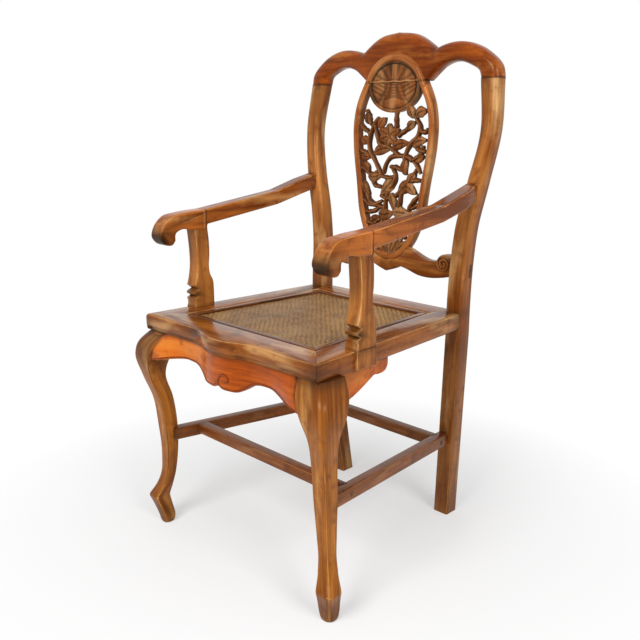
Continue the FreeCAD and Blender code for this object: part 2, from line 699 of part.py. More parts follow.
front_run = support_place(front_line, -1)
back_run = support_place(rear_line, 1)
foot_run = support_place(nicks, -1)
rear_foot = (foot_run[0][0], support_y + foot_half, seat_top)
support_edges = [spline(front_run), spline(back_run)] + lines(foot_run)
support_edges += lines([front_run[-1], back_run[0]]) + lines([back_run[-1], rear_foot, foot_run[0]])
support_block = board(support_edges, (support_width, 0, 0))
support_block = without(support_block, moved(arm_block, (0, 0, -gap)))
support_lap = box((lap_x, support_y - foot_half, seat_low), (support_out, support_y + foot_half, seat_top))
support = joined(support_block, support_lap, box(*head_tenon))
add_mirror(add("arm_support_right", without(support, arm_peg_hole)))

# Lower back rail: scrolled ends, a dished seat for the splat, tenons right through the posts.
# Points are (share of the way to the post, height over the splat's foot or over the rail's low line).
low_rail_y = post_front + size("low_rail_set_back")
low_rail_thick = size("low_rail_thick")
splat_low = seat_top + size("splat_rise")
low_z = splat_low - size("low_rail_drop")
top_run = [(0.311, 33), (0.404, 26), (0.519, 17), (0.617, 12), (0.727, 12), (0.798, 16)]
low_run = [(0.224, 15), (0.339, 10), (0.486, 2), (0.628, 0), (0.82, 4), (1, 12)]
middle_run = [(0, 0), (0.104, 6), (0.224, 15)]
post_inner = post_out - post_side * 0.95
rail_reach = post_inner + post_side / 3


def low_place(points, base):
    return [(post_inner * x, low_rail_y, base + z) for x, z in points]


rail_top = low_place(top_run, splat_low)
rail_low = low_place(low_run, low_z)
rail_mid = low_place(middle_run, low_z)
rail_edges = [spline(rail_top), spline(rail_low), spline(rail_mid)]
rail_edges += lines([rail_mid[0], (0, low_rail_y, rail_top[0][2]), rail_top[0]])
rail_edges += lines([rail_top[-1], (rail_reach, low_rail_y, rail_top[-1][2]),
                     (rail_reach, low_rail_y, rail_low[-1][2]), rail_low[-1]])
rail_half = board(rail_edges, (0, low_rail_thick, 0))
volute_size = size("volute_diameter")
volute = rod(volute_size, low_rail_thick,
             (post_inner - volute_size * 0.6, low_rail_y, splat_low + volute_size * 0.22), (0, 1, 0))
rail_half = without(rail_half.fuse(volute), moved(post_raw, (-gap, 0, 0)))
low_tenon_y = low_rail_y + low_rail_thick / 2
low_tenon = ((post_inner - 2 * root, low_tenon_y - pin_half, splat_low - size("low_rail_drop") / 2),
             (post_out + post_side, low_tenon_y + pin_half, splat_low + size("low_rail_drop") * 0.85))
low_tenon_bar = box(*low_tenon).common(post_raw)
low_tenon_bar = low_tenon_bar.fuse(box(low_tenon[0], (post_inner + root, low_tenon[1][1], low_tenon[1][2])))
low_peg_start = (post_out - post_side / 2, low_rail_y - root, splat_low + root)
low_peg = rod(peg, low_rail_thick + root, low_peg_start, (0, 1, 0))
low_peg_hole = moved(rod(peg_hole, post_side, low_peg_start, (0, 1, 0)), (0, -gap, 0))

# Splat: an egg-shaped plank with a raised rim, a round boss at its head and pierced scrollwork between.
# The egg, and each leaf-shaped gap's place and half sizes, are shares of half the width and of the height.
thick = size("splat_thick")
splat_y = low_rail_y + size("splat_set_back")
tall = post_top - splat_low
half_wide = size("splat_width") / 2
head_share = 0.732
egg_shape = [(0, 0), (0.31, 0.026), (0.545, 0.097), (0.76, 0.237), (0.884, 0.447), (0.99, 0.658),
             (1, 0.763), (0.94, 0.868), (head_share, 1)]
splat_tilt = -math.degrees(math.atan(float(size("splat_lean") / tall)))


def egg_curve(inset):
    right = [at((half_wide * x, 0, tall * z)) for x, z in egg_shape]
    curve = Part.BSplineCurve()
    curve.interpolate([FreeCAD.Vector(-p.x, p.y, p.z) for p in reversed(right[1:])] + right)
    if float(inset) == 0:
        return curve
    steps = 12
    reach = curve.LastParameter - curve.FirstParameter
    points = []
    for number in range(steps + 1):
        place = curve.FirstParameter + reach * number / steps
        along = curve.tangent(place)[0]
        points.append(curve.value(place) + FreeCAD.Vector(-along.z, 0, along.x) * float(inset))
    inner = Part.BSplineCurve()
    inner.interpolate(points)
    return inner


def egg(inset, depth, back):
    curve = egg_curve(inset)
    start, end = curve.StartPoint, curve.EndPoint
    rise = at((0, 0, tall / 10))
    sides = [curve.toShape()] + lines([end, end + rise, start + rise, start])
    return moved(board(sides, (0, depth, 0)), (0, back, 0))


def oval(x, z, wide, high, depth):
    ring = Part.Ellipse(at((0, 0, 0)), float(wide), float(high)).toShape()
    shape = Part.Face(Part.Wire([ring])).extrude(at((0, 0, depth)))
    shape.rotate(at((0, 0, 0)), at((1, 0, 0)), 90)
    return moved(shape, (x, depth, z))


def sawn_gap(x, z, wide, high, turn, depth):
    foot, head = (0, 0, -high), (0, 0, high)
    sides = [Part.Arc(at(foot), at((wide * bow, 0, 0)), at(head)).toShape() for bow in (0.95, -0.75)]
    shape = prism(sides, (0, depth, 0))
    shape.rotate(at((0, 0, 0)), at((0, 1, 0)), turn)
    return moved(shape, (x, 0, z))


web_back = (thick - size("web_thick")) / 2
boss_wide = size("medallion_width") / 2
boss_high = boss_wide * 0.83
boss_drop = size("medallion_drop")
gap_rows = [(-0.7, 0.8, 0.11, 0.08, 14), (0.74, 0.81, 0.11, 0.065, -14), (-0.13, 0.75, 0.2, 0.052, 80),
            (0.33, 0.755, 0.19, 0.062, 42), (-0.46, 0.725, 0.12, 0.08, -12), (0.68, 0.68, 0.13, 0.072, 24),
            (-0.75, 0.645, 0.12, 0.072, 4), (0.2, 0.64, 0.17, 0.062, 66), (-0.44, 0.585, 0.16, 0.065, 36),
            (0.74, 0.55, 0.12, 0.062, 6), (-0.06, 0.545, 0.2, 0.062, -58), (0.41, 0.52, 0.17, 0.068, 20),
            (-0.68, 0.485, 0.13, 0.06, -10), (-0.28, 0.445, 0.18, 0.058, 36), (0.11, 0.415, 0.15, 0.068, 14),
            (0.63, 0.41, 0.14, 0.068, 8), (-0.6, 0.355, 0.13, 0.062, -22), (0.38, 0.32, 0.16, 0.068, -12),
            (-0.24, 0.32, 0.18, 0.058, 40), (0.1, 0.265, 0.13, 0.062, 10), (-0.45, 0.225, 0.15, 0.062, -26),
            (0.42, 0.19, 0.15, 0.055, 28), (-0.14, 0.175, 0.15, 0.058, -20), (0.15, 0.12, 0.12, 0.05, 24)]
rim_width = size("rim_width")
rim = egg(0, thick, 0).cut(egg(rim_width, thick + 2 * past, -past))
rim_faces = on_plane("Y", 0, thick)
rim_edges = [edge for edge in rim.Edges if rim_faces(edge) and edge.BoundBox.ZLength > half_wide.value]
rim = rim.makeChamfer(float(size("rim_chamfer")), rim_edges)
web = egg(rim_width - size("rim_lap"), size("web_thick"), web_back)
for x, z, wide, high, turn in gap_rows:
    web = web.cut(sawn_gap(half_wide * x, tall * z, half_wide * wide, tall * high, turn, thick))
boss = oval(0, tall - boss_drop, boss_wide, boss_high, thick)


def tilted(shape):
    copy = shape.copy()
    copy.rotate(at((0, 0, 0)), at((1, 0, 0)), splat_tilt)
    return moved(copy, (0, splat_y, splat_low))


over_posts = box((-top_out, post_front, post_top), (top_out, post_front + post_top, 2 * post_top))
tongue_y = splat_y + size("splat_lean") + thick / 2
tongue = ((-boss_wide * 0.8, tongue_y - pin_half, post_top - tenon),
          (boss_wide * 0.8, tongue_y + pin_half, post_top + tenon))
stub_y = splat_y + thick / 2
stub = ((-2 * tenon, stub_y - pin_half, splat_low - stub_long),
        (2 * tenon, stub_y + pin_half, splat_low + 2 * root))
add("splat", joined(without(tilted(rim.fuse(web).fuse(boss)), over_posts), box(*tongue), box(*stub)))
dish = tilted(egg(-gap, low_rail_thick + 2 * thick, -thick))
low_rail = rail_half.fuse(mirrored(rail_half)).removeSplitter()
low_rail = without(low_rail, dish, box(*stub, float(gap)))
low_rail = joined(low_rail, low_tenon_bar, mirrored(low_tenon_bar))
add("lower_back_rail", without(low_rail, low_peg_hole, mirrored(low_peg_hole)))

# Crest rail: two drooping shoulders and a raised middle, with the head of the boss and rim worked on it.
# Points are shares of the posts' half spread and of the crest's rise.
crest_y = top_front
crest_rise = size("crest_rise")
crest_thick = size("crest_thick")
shoulder = [(1, 0), (0.984, 0.2), (0.87, 0.493), (0.622, 0.724), (0.453, 0.674), (0.386, 0.614)]
crown = [(0.386, 0.614), (0.315, 0.744), (0.177, 0.936), (0, 1)]
underside = [(0.33, 0), (0.394, 0.13), (0.465, 0.262), (0.602, 0.342), (0.732, 0.252), (0.811, 0.121)]


def crest_place(points):
    return [(top_out * x, crest_y, post_top + crest_rise * z) for x, z in points]


shoulder_run = crest_place(shoulder)
crown_run = crest_place(crown)
under_run = crest_place(underside) + [(top_out - top_width, crest_y, post_top)]
crest_edges = [spline(shoulder_run), spline(crown_run), spline(under_run)]
crest_edges += lines([crown_run[-1], (0, crest_y, post_top), under_run[0]])
crest_edges += lines([under_run[-1], shoulder_run[0]])
crest_half = board(crest_edges, (0, crest_thick, 0))
crest = crest_half.fuse(mirrored(crest_half)).removeSplitter()
crest_faces = on_plane("Y", crest_y, crest_y + crest_thick)
crest_edges = [edge for edge in crest.Edges if crest_faces(edge) and edge.BoundBox.ZLength > past.value]
crest = crest.makeChamfer(float(size("crest_chamfer")), crest_edges)
arch_wide = half_wide * head_share
arch_high = crest_rise * 0.543
relief_deep = size("relief_depth")
relief_back = relief_deep * 4
arch = oval(0, 0, arch_wide, arch_high, relief_back)
arch = arch.cut(oval(0, 0, arch_wide - rim_width, arch_high - rim_width, relief_back))
head_boss = oval(0, -boss_drop, boss_wide, boss_high, relief_back)
relief = moved(arch.fuse(head_boss), (0, crest_y - relief_deep, post_top)).common(over_posts)
post_tenon = ((post_top_x - tenon, post_top_y - pin_half, post_top - tenon),
              (post_top_x + tenon, post_top_y + pin_half, post_top + crest_rise * 0.16))
socket = box(*post_tenon, float(gap))
crest = without(joined(crest, relief), box(*tongue, float(gap)), socket, mirrored(socket))
add("crest_rail", crest)

# Posts, finished with the head tenon and every mortise that enters them.
side_tenon_box = ((side_tenon[0][0], side_tenon[0][1], rail_tenon_low),
                  (side_tenon[2][0], side_tenon[2][1], rail_tenon_high))
rail_peg_x = post_in + tenon + 4 * gap
rail_peg = rod(peg, post_out - rail_peg_x, (rail_peg_x, peg_y, peg_z), (1, 0, 0))
rail_peg_hole = rod(peg_hole, post_side, (rail_peg_x - gap, peg_y, peg_z), (1, 0, 0))
mortises = [box(*ends, float(gap)) for ends in (rear_tenon, side_tenon_box, arm_tenon, low_tenon,
                                                bar_tenons[1])]
post = without(joined(post_raw, box(*post_tenon)), *mortises, low_peg_hole, rail_peg_hole)
add_mirror(add("rear_post_right", post))
for label, pin in (("seat_pegs", rail_peg), ("arm_pegs", arm_peg), ("back_pegs", low_peg)):
    add(label, Part.makeCompound([pin, mirrored(pin)]))

doc.recompute()
os.makedirs("parts", exist_ok=True)
for node in nodes:
    faults = [state for state in node.State if state in ("Invalid", "Error")]
    if faults or node.Shape.isNull() or not node.Shape.isValid():
        raise ValueError("%s did not build" % node.Label)
    node.Shape.exportStep("parts/%s.step" % node.Label)
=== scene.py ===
import math
import bmesh
import bpy
import numpy as np
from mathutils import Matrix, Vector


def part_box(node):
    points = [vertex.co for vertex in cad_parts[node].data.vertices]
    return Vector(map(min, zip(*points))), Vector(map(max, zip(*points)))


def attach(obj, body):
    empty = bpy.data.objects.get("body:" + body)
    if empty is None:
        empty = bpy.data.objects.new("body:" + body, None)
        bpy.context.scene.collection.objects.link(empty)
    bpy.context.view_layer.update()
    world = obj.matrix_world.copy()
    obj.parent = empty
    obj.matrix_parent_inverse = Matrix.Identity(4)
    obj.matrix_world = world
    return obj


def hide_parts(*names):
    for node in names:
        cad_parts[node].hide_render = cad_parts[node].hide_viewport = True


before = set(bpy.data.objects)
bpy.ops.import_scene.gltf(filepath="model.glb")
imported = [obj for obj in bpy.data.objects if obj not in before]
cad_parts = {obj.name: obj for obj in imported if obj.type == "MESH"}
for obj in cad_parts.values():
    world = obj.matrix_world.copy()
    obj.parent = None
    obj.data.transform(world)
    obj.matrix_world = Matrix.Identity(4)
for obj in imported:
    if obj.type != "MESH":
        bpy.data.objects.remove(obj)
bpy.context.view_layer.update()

print("frame loaded:", len(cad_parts), "nodes")

# Lengths are in millimetres until makePiece writes a mesh
perMetre = 1000
weldGap = 1e-7
sharpAngle = math.radians(38)
jointStep = 60.0
flipX = np.array([-1, 1])
scene = bpy.context.scene


def boxOf(node):
    # lowest and highest corner of a CAD node
    return [np.array(corner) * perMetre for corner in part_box(node)]


# Curves and shells
def valueThrough(knots, values, places):
    # cubic Hermite: slopes at the knots are the mean slopes of their neighbours
    knots, values = np.asarray(knots, float), np.asarray(values, float)
    slope = np.gradient(values, knots, axis=0)
    low = np.clip(np.searchsorted(knots, places, "right") - 1, 0, len(knots) - 2)
    span = knots[low + 1] - knots[low]
    t = (places - knots[low]) / span
    if values.ndim > 1:
        t, span = t[:, None], span[:, None]
    keep = (1 + 2 * t) * (1 - t) ** 2
    bend = span * t * (1 - t) * ((1 - t) * slope[low] - t * slope[low + 1])
    return keep * values[low] + (1 - keep) * values[low + 1] + bend


def lengthAlong(path):
    # distance from the first point along the path
    return np.r_[0, np.cumsum(np.linalg.norm(np.diff(path, axis=0), axis=1))]


def smoothThrough(points, count):
    # the points joined by a cubic Hermite curve, at even steps of chord length
    points = np.asarray(points, float)
    chord = lengthAlong(points)
    return valueThrough(chord, points, np.linspace(0, chord[-1], count))


def straight(points, step=jointStep):
    # straight runs, divided about every step
    points = np.asarray(points, float)
    pieces = [points[:1]]
    for start, end in zip(points, points[1:]):
        count = max(1, int(np.linalg.norm(end - start) / step))
        pieces.append(start + (end - start) * np.linspace(0, 1, count + 1)[1:, None])
    return np.concatenate(pieces)


def closedLoop(*runs):
    # runs of (points, is a joint) end to end; each edge keeps its run's joint mark
    points, joint = [], []
    for run, isJoint in runs:
        points.append(run[:-1])
        joint.append(np.full(len(run) - 1, isJoint))
    return np.concatenate(points), np.concatenate(joint)


def outwardSteps(loop, joint, leastFacing=0.4, leastShare=0.3):
    # at each corner the step that moves both its edges out by 1; next to a joint it slides along the joint
    ahead = np.roll(loop, -1, 0) - loop
    ahead /= np.linalg.norm(ahead, axis=1)[:, None]
    area = np.sum(loop[:, 0] * np.roll(loop[:, 1], -1) - np.roll(loop[:, 0], -1) * loop[:, 1])
    out = np.stack([ahead[:, 1], -ahead[:, 0]], 1) * np.sign(area)
    back, outBack, jointBack = np.roll(ahead, 1, 0), np.roll(out, 1, 0), np.roll(joint, 1)
    facing = np.sum(out * outBack, 1)
    step = (out + outBack) / np.maximum(1 + facing, leastFacing)[:, None]

    def slide(along, normal):
        # the step along a joint, kept from growing where the edges are nearly in line
        share = np.sum(along * normal, 1)
        least = leastShare * np.where(share < 0, -1, 1)
        return along / np.where(np.abs(share) < leastShare, least, share)[:, None]

    step = np.where((joint & ~jointBack)[:, None], slide(ahead, outBack), step)
    step = np.where((~joint & jointBack)[:, None], slide(back, out), step)
    return np.where((joint & jointBack)[:, None], 0, step)


def quarter(radius, steps=6):
    # rows of depth r(1 - cos a), inset r(1 - sin a) and wear with painted highlight sin 2a, from the face to
    # the edge
    turn = np.linspace(0, np.pi / 2, steps + 1)
    return np.stack([radius * (1 - np.cos(turn)), radius * (1 - np.sin(turn)), np.sin(2 * turn)], 1)


def roundEdges(low, high, lowRadius, highRadius, wornAndLit=1.0):
    # section of a board from its low face to its high face with both edges rounded
    first = quarter(lowRadius) * [1, 1, wornAndLit] + [low, 0, 0]
    last = quarter(highRadius)[::-1] * [-1, 1, wornAndLit] + [high, 0, 0]
    return np.concatenate([first, last])


def gridShell(points, wearAndHighlight=0.0, grain=None, dirtAndShade=0.0, caps=True):
    # a k by n grid of points as quads, closed round n, with end caps
    k, n = points.shape[:2]
    index = np.arange(k * n).reshape(k, n)
    beside = np.roll(index, -1, 1)
    quads = np.stack([index[:-1], beside[:-1], beside[1:], index[1:]], -1).reshape(-1, 4)
    flat = points.reshape(-1, 3)
    return {
        "points": flat, "quads": quads,
        "caps": [index[0][::-1].tolist(), index[-1].tolist()] if caps else [],
        "grain": flat if grain is None else np.broadcast_to(grain, points.shape).reshape(-1, 3),
        "wearAndHighlight": np.broadcast_to(wearAndHighlight, (k, n)).reshape(-1),
        "dirtAndShade": np.broadcast_to(dirtAndShade, (k, n)).reshape(-1)}


def stacked(*parts):
    # three values of any matching shapes as one grid of points
    return np.stack(np.broadcast_arrays(*parts), -1)


def slab(outline, section, place, along=0):
    # an outline (a, b) carried across a section of (t, inset, wear and painted highlight): place(a, b, t)
    # gives the point
    loop, joint = outline
    step = outwardSteps(loop, joint)
    rings = loop[None] - section[:, 1, None, None] * step[None]
    across = np.broadcast_to(section[:, 0, None], rings.shape[:2])
    edge = np.any(step != 0, axis=1)[None] * section[:, 2, None]
    parts = [rings[..., 0], rings[..., 1], across]
    grain = stacked(parts[(along + 1) % 3], parts[(along + 2) % 3], parts[along])
    return gridShell(place(*parts), edge, grain)


def placed(*order):
    # a place for slab that only sorts its three values into x, y and z
    return lambda *values: np.stack([values[i] for i in order], -1)


uprightPlace, sidePlace, planPlace = placed(0, 2, 1), placed(2, 0, 1), placed(0, 1, 2)


def tube(path, halfWidth, halfDepth, sides=10, wornAndLit=1.0, dirtAndShade=0.0, shade=0.3, grainRadius=4):
    # an ellipse carried along a path: width lies across the path, depth along Y; its front gets wear with
    # painted highlight and its back half painted shade
    ahead = np.gradient(path, axis=0)
    depthAxis = np.array([0.0, 1.0, 0.0])
    side = np.cross(depthAxis, ahead)
    side /= np.linalg.norm(side, axis=1)[:, None]
    turn = np.linspace(0, 2 * np.pi, sides, endpoint=False)
    wide = np.broadcast_to(halfWidth, len(path))[:, None, None]
    deep = np.broadcast_to(halfDepth, len(path))[:, None, None]
    ring = side[:, None] * np.cos(turn)[None, :, None] * wide
    ring = ring - depthAxis * np.sin(turn)[None, :, None] * deep
    grain = stacked(np.cos(turn) * grainRadius, np.sin(turn) * grainRadius, lengthAlong(path)[:, None])
    front = np.clip(np.sin(turn), 0, 1)[None]
    return gridShell(path[:, None] + ring, wornAndLit * front ** 3, grain, shade * (1 - front) + dirtAndShade)


def softSquare(x0, x1, y0, y1, radius, perCorner=6, nose=None):
    # rows of squares with rounded corners, run round from (x1, y0), whose own radius is nose
    turn = np.linspace(0, np.pi / 2, perCorner + 1)
    xs, ys = [], []
    for number, (x, y) in enumerate(((x1, y0), (x1, y1), (x0, y1), (x0, y0))):
        angle = turn - np.pi / 2 + number * np.pi / 2
        bend = radius if number or nose is None else nose
        inX = x - bend if number in (0, 1) else x + bend
        inY = y + bend if number in (0, 3) else y - bend
        xs.append(inX[:, None] + bend[:, None] * np.cos(angle))
        ys.append(inY[:, None] + bend[:, None] * np.sin(angle))
    return np.concatenate(xs, 1), np.concatenate(ys, 1), np.tile(np.sin(2 * turn), 4)


def mirrored(shell):
    # the same piece across the chair's middle plane
    return {
        **shell, "points": shell["points"] * np.array([-1.0, 1, 1]), "quads": shell["quads"][:, ::-1],
        "caps": [cap[::-1] for cap in shell["caps"]]}


def merged(*shells):
    # several shells as one mesh
    starts = np.r_[0, np.cumsum([len(shell["points"]) for shell in shells])]
    marks = ("points", "grain", "wearAndHighlight", "dirtAndShade")
    whole = {key: np.concatenate([shell[key] for shell in shells]) for key in marks}
    based = list(zip(shells, starts))
    whole["quads"] = np.concatenate([shell["quads"] + base for shell, base in based])
    whole["caps"] = [[i + int(base) for i in cap] for shell, base in based for cap in shell["caps"]]
    return whole


# Wear with painted highlight, and dirt with painted shade. The pieces' dictionaries hold rows for these:
# place, width and strength for band, start, span and strength for fade, two places, two widths and strength
# for blot
def ridge(distance, width):
    # a rounded ridge: exp(-(distance / width) squared)
    return np.exp(-(distance / width) ** 2)


def band(value, place, width, strength=1.0):
    # a ridge about one place
    return strength * ridge(value - place, width)


def fade(value, start, span, strength=1.0):
    # grows evenly from 0 at start to its strength at start + span
    return strength * np.clip((value - start) / span, 0, 1)


def blot(first, second, firstPlace, secondPlace, firstWidth, secondWidth, strength=1.0):
    # an oval spot: the product of two ridges
    return strength * ridge(first - firstPlace, firstWidth) * ridge(second - secondPlace, secondWidth)


def addDirtAndShade(shell, dark):
    # adds dirt and painted shade: dark(x, y, z) gives its strength at each point
    return {**shell, "dirtAndShade": np.clip(shell["dirtAndShade"] + dark(*shell["points"].T), 0, 1)}


# Pieces
def addObject(name, data):
    # a new object at the origin
    made = bpy.data.objects.new(name, data)
    scene.collection.objects.link(made)
    return made


def makePiece(name, shell, material, slot, *stands):
    # writes a shell as a mesh in metres with its grain, its wear-with-painted-highlight marks and its
    # dirt-with-painted-shade marks
    mesh = bpy.data.meshes.new(name)
    mesh.from_pydata((shell["points"] / perMetre).tolist(), [], shell["quads"].tolist() + shell["caps"])
    grain = mesh.attributes.new("grain", "FLOAT_VECTOR", "POINT")
    grain.data.foreach_set("vector", np.ascontiguousarray(shell["grain"] / perMetre, np.float32).ravel())
    for mark in ("wearAndHighlight", "dirtAndShade"):
        layer = mesh.attributes.new(mark, "FLOAT", "POINT")
        layer.data.foreach_set("value", np.ascontiguousarray(shell[mark], np.float32))
    solid = bmesh.new()
    solid.from_mesh(mesh)
    bmesh.ops.remove_doubles(solid, verts=solid.verts, dist=weldGap)
    bmesh.ops.recalc_face_normals(solid, faces=solid.faces)
    solid.to_mesh(mesh)
    solid.free()
    mesh.shade_smooth()
    mesh.set_sharp_from_angle(angle=sharpAngle)
    mesh.materials.append(material)
    piece = addObject(name, mesh)
    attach(piece, "root")
    if stands:
        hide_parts(*stands)


def makePair(name, shell, material, slot, node):
    # a right-hand piece and its mirror image
    makePiece(name + "Right", shell, material, slot, node + "_right")
    makePiece(name + "Left", mirrored(shell), material, slot, node + "_left")


# Shader values
def operator(operation, isReflected=False):
    # a method that joins a value and another, in either order
    def joined(self, other):
        return self.apply(operation, other, self) if isReflected else self.apply(operation, self, other)

    return joined


class Value:
    # a shader socket with arithmetic: floats through Math, vectors through Vector Math
    __add__, __radd__ = operator("ADD"), operator("ADD", True)
    __sub__, __rsub__ = operator("SUBTRACT"), operator("SUBTRACT", True)
    __mul__, __rmul__ = operator("MULTIPLY"), operator("MULTIPLY", True)

    def __init__(self, tree, socket):
        self.tree, self.socket = tree, socket

    def node(self, kind, settings=None, inputs=None, output=0):
        made = self.tree.nodes.new(kind)
        for key, setting in (settings or {}).items():
            setattr(made, key, setting)
        for key, source in (inputs or {}).items():
            if isinstance(source, Value):
                self.tree.links.new(source.socket, made.inputs[key])
            else:
                made.inputs[key].default_value = source
        return Value(self.tree, made.outputs[output])

    def apply(self, operation, first, second):
        isVector = self.socket.type == "VECTOR"
        kind = "ShaderNodeVectorMath" if isVector else "ShaderNodeMath"
        return self.node(kind, {"operation": operation}, {0: first, 1: second})

    def power(self, exponent):
        return self.apply("POWER", self, exponent)

    def length(self):
        return self.node("ShaderNodeVectorMath", {"operation": "LENGTH"}, {0: self}, 1)

    def clamped(self, low, high, top=1.0):
        # 0 at low and top at high
        inputs = {"Value": self, "From Min": low, "From Max": high, "To Max": top}
        return self.node("ShaderNodeMapRange", {"clamp": True}, inputs)

    def part(self, axis):
        return self.node("ShaderNodeSeparateXYZ", None, {0: self}, axis)

    def noise(self, scale, detail, roughness=0.5, stretch=1.0):
        # noise drawn out along the third axis where stretch is small
        inputs = {"Vector": self * (1, 1, stretch), "Scale": scale, "Detail": detail, "Roughness": roughness}
        return self.node("ShaderNodeTexNoise", None, inputs)

    def blend(self, first, second):
        return self.node("ShaderNodeMix", {"data_type": "RGBA"}, {0: self, 6: first, 7: second}, 2)

    def bump(self, strength, distance):
        inputs = {"Strength": strength, "Distance": distance, "Height": self}
        return self.node("ShaderNodeBump", None, inputs)


def linear(*screen):
    # an 8-bit screen colour as the linear colour that renders as written
    shares = np.array(screen) / 255
    return (*np.where(shares <= 0.04045, shares / 12.92, ((shares + 0.055) / 1.055) ** 2.4), 1.0)


def newMaterial(name):
    # a new material, its shader node and a starting value
    material = bpy.data.materials.new(name)
    material.use_nodes = True
    tree = material.node_tree
    return material, tree.nodes["Principled BSDF"], Value(tree, None)


def connect(shader, make, **signals):
    # links each signal to the shader's socket of that name
    for name, signal in signals.items():
        make.tree.links.new(signal.socket, shader.inputs[name.replace("_", " ")])


def attribute(make, name, output):
    # a mark that makePiece wrote on the mesh
    return make.node("ShaderNodeAttribute", {"attribute_name": name}, None, output)


# scale, detail, roughness and stretch of each noise in the wood
woodNoise = {
    "drift": (9, 2, 0.5, 0.35), "growth": (85, 5, 0.6, 0.06), "fibre": (1000, 3, 0.5, 0.02),
    "patch": (30, 4, 0.6, 1), "sap": (19, 3, 0.55, 0.2)}
# noise where a mark starts, where it is full, and its strength
woodMarks = {
    "figure": (0.42, 0.59), "sap": (0.52, 0.66, 0.62), "stain": (0.53, 0.68, 0.7), "pore": (0.58, 0.72, 0.4),
    "poreGrowth": (0.45, 0.6), "rubbed": (0.46, 0.95)}
lacquer = {"specular": 0.26, "tint": (1, 0.72, 0.42, 1), "bump": 0.0008, "rubbedPower": 2.5}
baseTone = {
    "light": (188, 120, 56), "dark": (112, 56, 18), "pore": (76, 36, 12), "pale": (228, 180, 118),
    "deep": (40, 19, 7), "wornAndLit": 0.7, "rough": 0.1, "relief": 0.25}
tones = {
    "honey": {},
    "crest": {"light": (168, 80, 14), "dark": (98, 37, 4), "pale": (196, 120, 54)},
    "leg": {"light": (188, 116, 42), "dark": (108, 54, 14), "pale": (224, 170, 96), "rough": 0.16},
    "arm": {"light": (186, 102, 36), "dark": (104, 47, 10), "pale": (220, 158, 92)},
    "seat": {"light": (172, 100, 38), "dark": (96, 44, 10), "rough": 0.06},
    "red": {"light": (198, 93, 15), "dark": (132, 51, 4), "pale": (220, 132, 52)},
    "rim": {"light": (198, 122, 60), "dark": (116, 56, 20)},
    "carved": {"light": (154, 86, 38), "dark": (72, 35, 11), "pale": (190, 140, 90), "deep": (20, 10, 4),
               "wornAndLit": 0.85, "rough": 0.25, "relief": 0.45},
    "bar": {"light": (150, 86, 42), "dark": (92, 46, 18), "pale": (190, 140, 96)},
    "strip": {"light": (116, 66, 34), "dark": (70, 36, 15), "pale": (150, 96, 58)}}


def woodMaterial(name, ownTone, axis=None):
    # drift, growth streaks and fibres along the grain, pale arrises of wear and painted highlight, dark
    # hollows of dirt and painted shade, satin lacquer
    material, shader, make = newMaterial(name)
    tone = {**baseTone, **ownTone}
    if axis is None:
        place = attribute(make, "grain", 1)
    else:
        here = make.node("ShaderNodeTexCoord", None, None, 3)
        order = [(axis + 1) % 3, (axis + 2) % 3, axis]
        place = make.node("ShaderNodeCombineXYZ", None, {i: here.part(order[i]) for i in range(3)})
    wearAndHighlight, dirtAndShade = attribute(make, "wearAndHighlight", 2), attribute(make, "dirtAndShade", 2)
    drift, growth, fibre, patch, sap = [place.noise(*row) for row in woodNoise.values()]
    figure = (0.5 * drift + 0.36 * growth + 0.14 * fibre).clamped(*woodMarks["figure"])
    sapwood = sap.clamped(*woodMarks["sap"])
    stain = patch.clamped(*woodMarks["stain"])
    pores = fibre.clamped(*woodMarks["pore"]) * growth.clamped(*woodMarks["poreGrowth"])
    # pale arrises: wear together with painted highlight, mixed towards the pale colour
    edgeWearAndHighlight = wearAndHighlight.power(lacquer["rubbedPower"]) * (patch + 0.5 * fibre)
    rubbed = edgeWearAndHighlight.clamped(*woodMarks["rubbed"], tone["wornAndLit"])
    # dark marks: dirt and dark joints together with painted shade, mixed towards the deep colour
    dirtAndShadeMask = (dirtAndShade * (0.5 * patch + 0.75)).clamped(0, 1)
    colour = figure.blend(linear(*tone["dark"]), linear(*tone["light"]))
    layers = ((sapwood, "pale"), (stain, "dark"), (pores, "pore"), (rubbed, "pale"), (dirtAndShadeMask, "deep"))
    for mask, shade in layers:
        colour = mask.blend(colour, linear(*tone[shade]))
    rough = 0.18 * patch + 0.08 * fibre + 0.25 * dirtAndShadeMask + tone["rough"]
    height = 0.4 * growth + 0.25 * fibre + 0.5 * patch
    normal = height.bump(tone["relief"], lacquer["bump"])
    connect(shader, make, Base_Color=colour, Roughness=rough, Normal=normal)
    shader.inputs["Specular IOR Level"].default_value = lacquer["specular"]
    shader.inputs["Specular Tint"].default_value = lacquer["tint"]
    return material


wood = {name: woodMaterial(name + "Wood", tone) for name, tone in tones.items()}
wood["peg"] = woodMaterial("pegWood", tones["bar"], 0)
wood["batten"] = woodMaterial("battenWood", tones["bar"], 1)
caneTone = {
    "dark": (102, 64, 27), "light": (204, 157, 91), "dustAndShade": (66, 42, 22), "streak": (700, 3, 0.5, 0.06),
    "patch": (20, 3), "figure": (0.42, 0.9), "relief": 0.3, "bump": 0.0004, "rough": 0.4}


def caneMaterial():
    # split cane: olive brown strands with pale skin streaks, and dark dust with painted shade between
    material, shader, make = newMaterial("cane")
    place, dirtAndShade = attribute(make, "grain", 1), attribute(make, "dirtAndShade", 2)
    streak, patch = place.noise(*caneTone["streak"]), place.noise(*caneTone["patch"])
    figure = (0.6 * streak + 0.7 * patch).clamped(*caneTone["figure"])
    colour = figure.blend(linear(*caneTone["dark"]), linear(*caneTone["light"]))
    colour = dirtAndShade.clamped(0, 1).blend(colour, linear(*caneTone["dustAndShade"]))
    normal = streak.bump(caneTone["relief"], caneTone["bump"])
    connect(shader, make, Base_Color=colour, Roughness=0.2 * streak + caneTone["rough"], Normal=normal)
    return material


caneSkin = caneMaterial()
print("materials made")

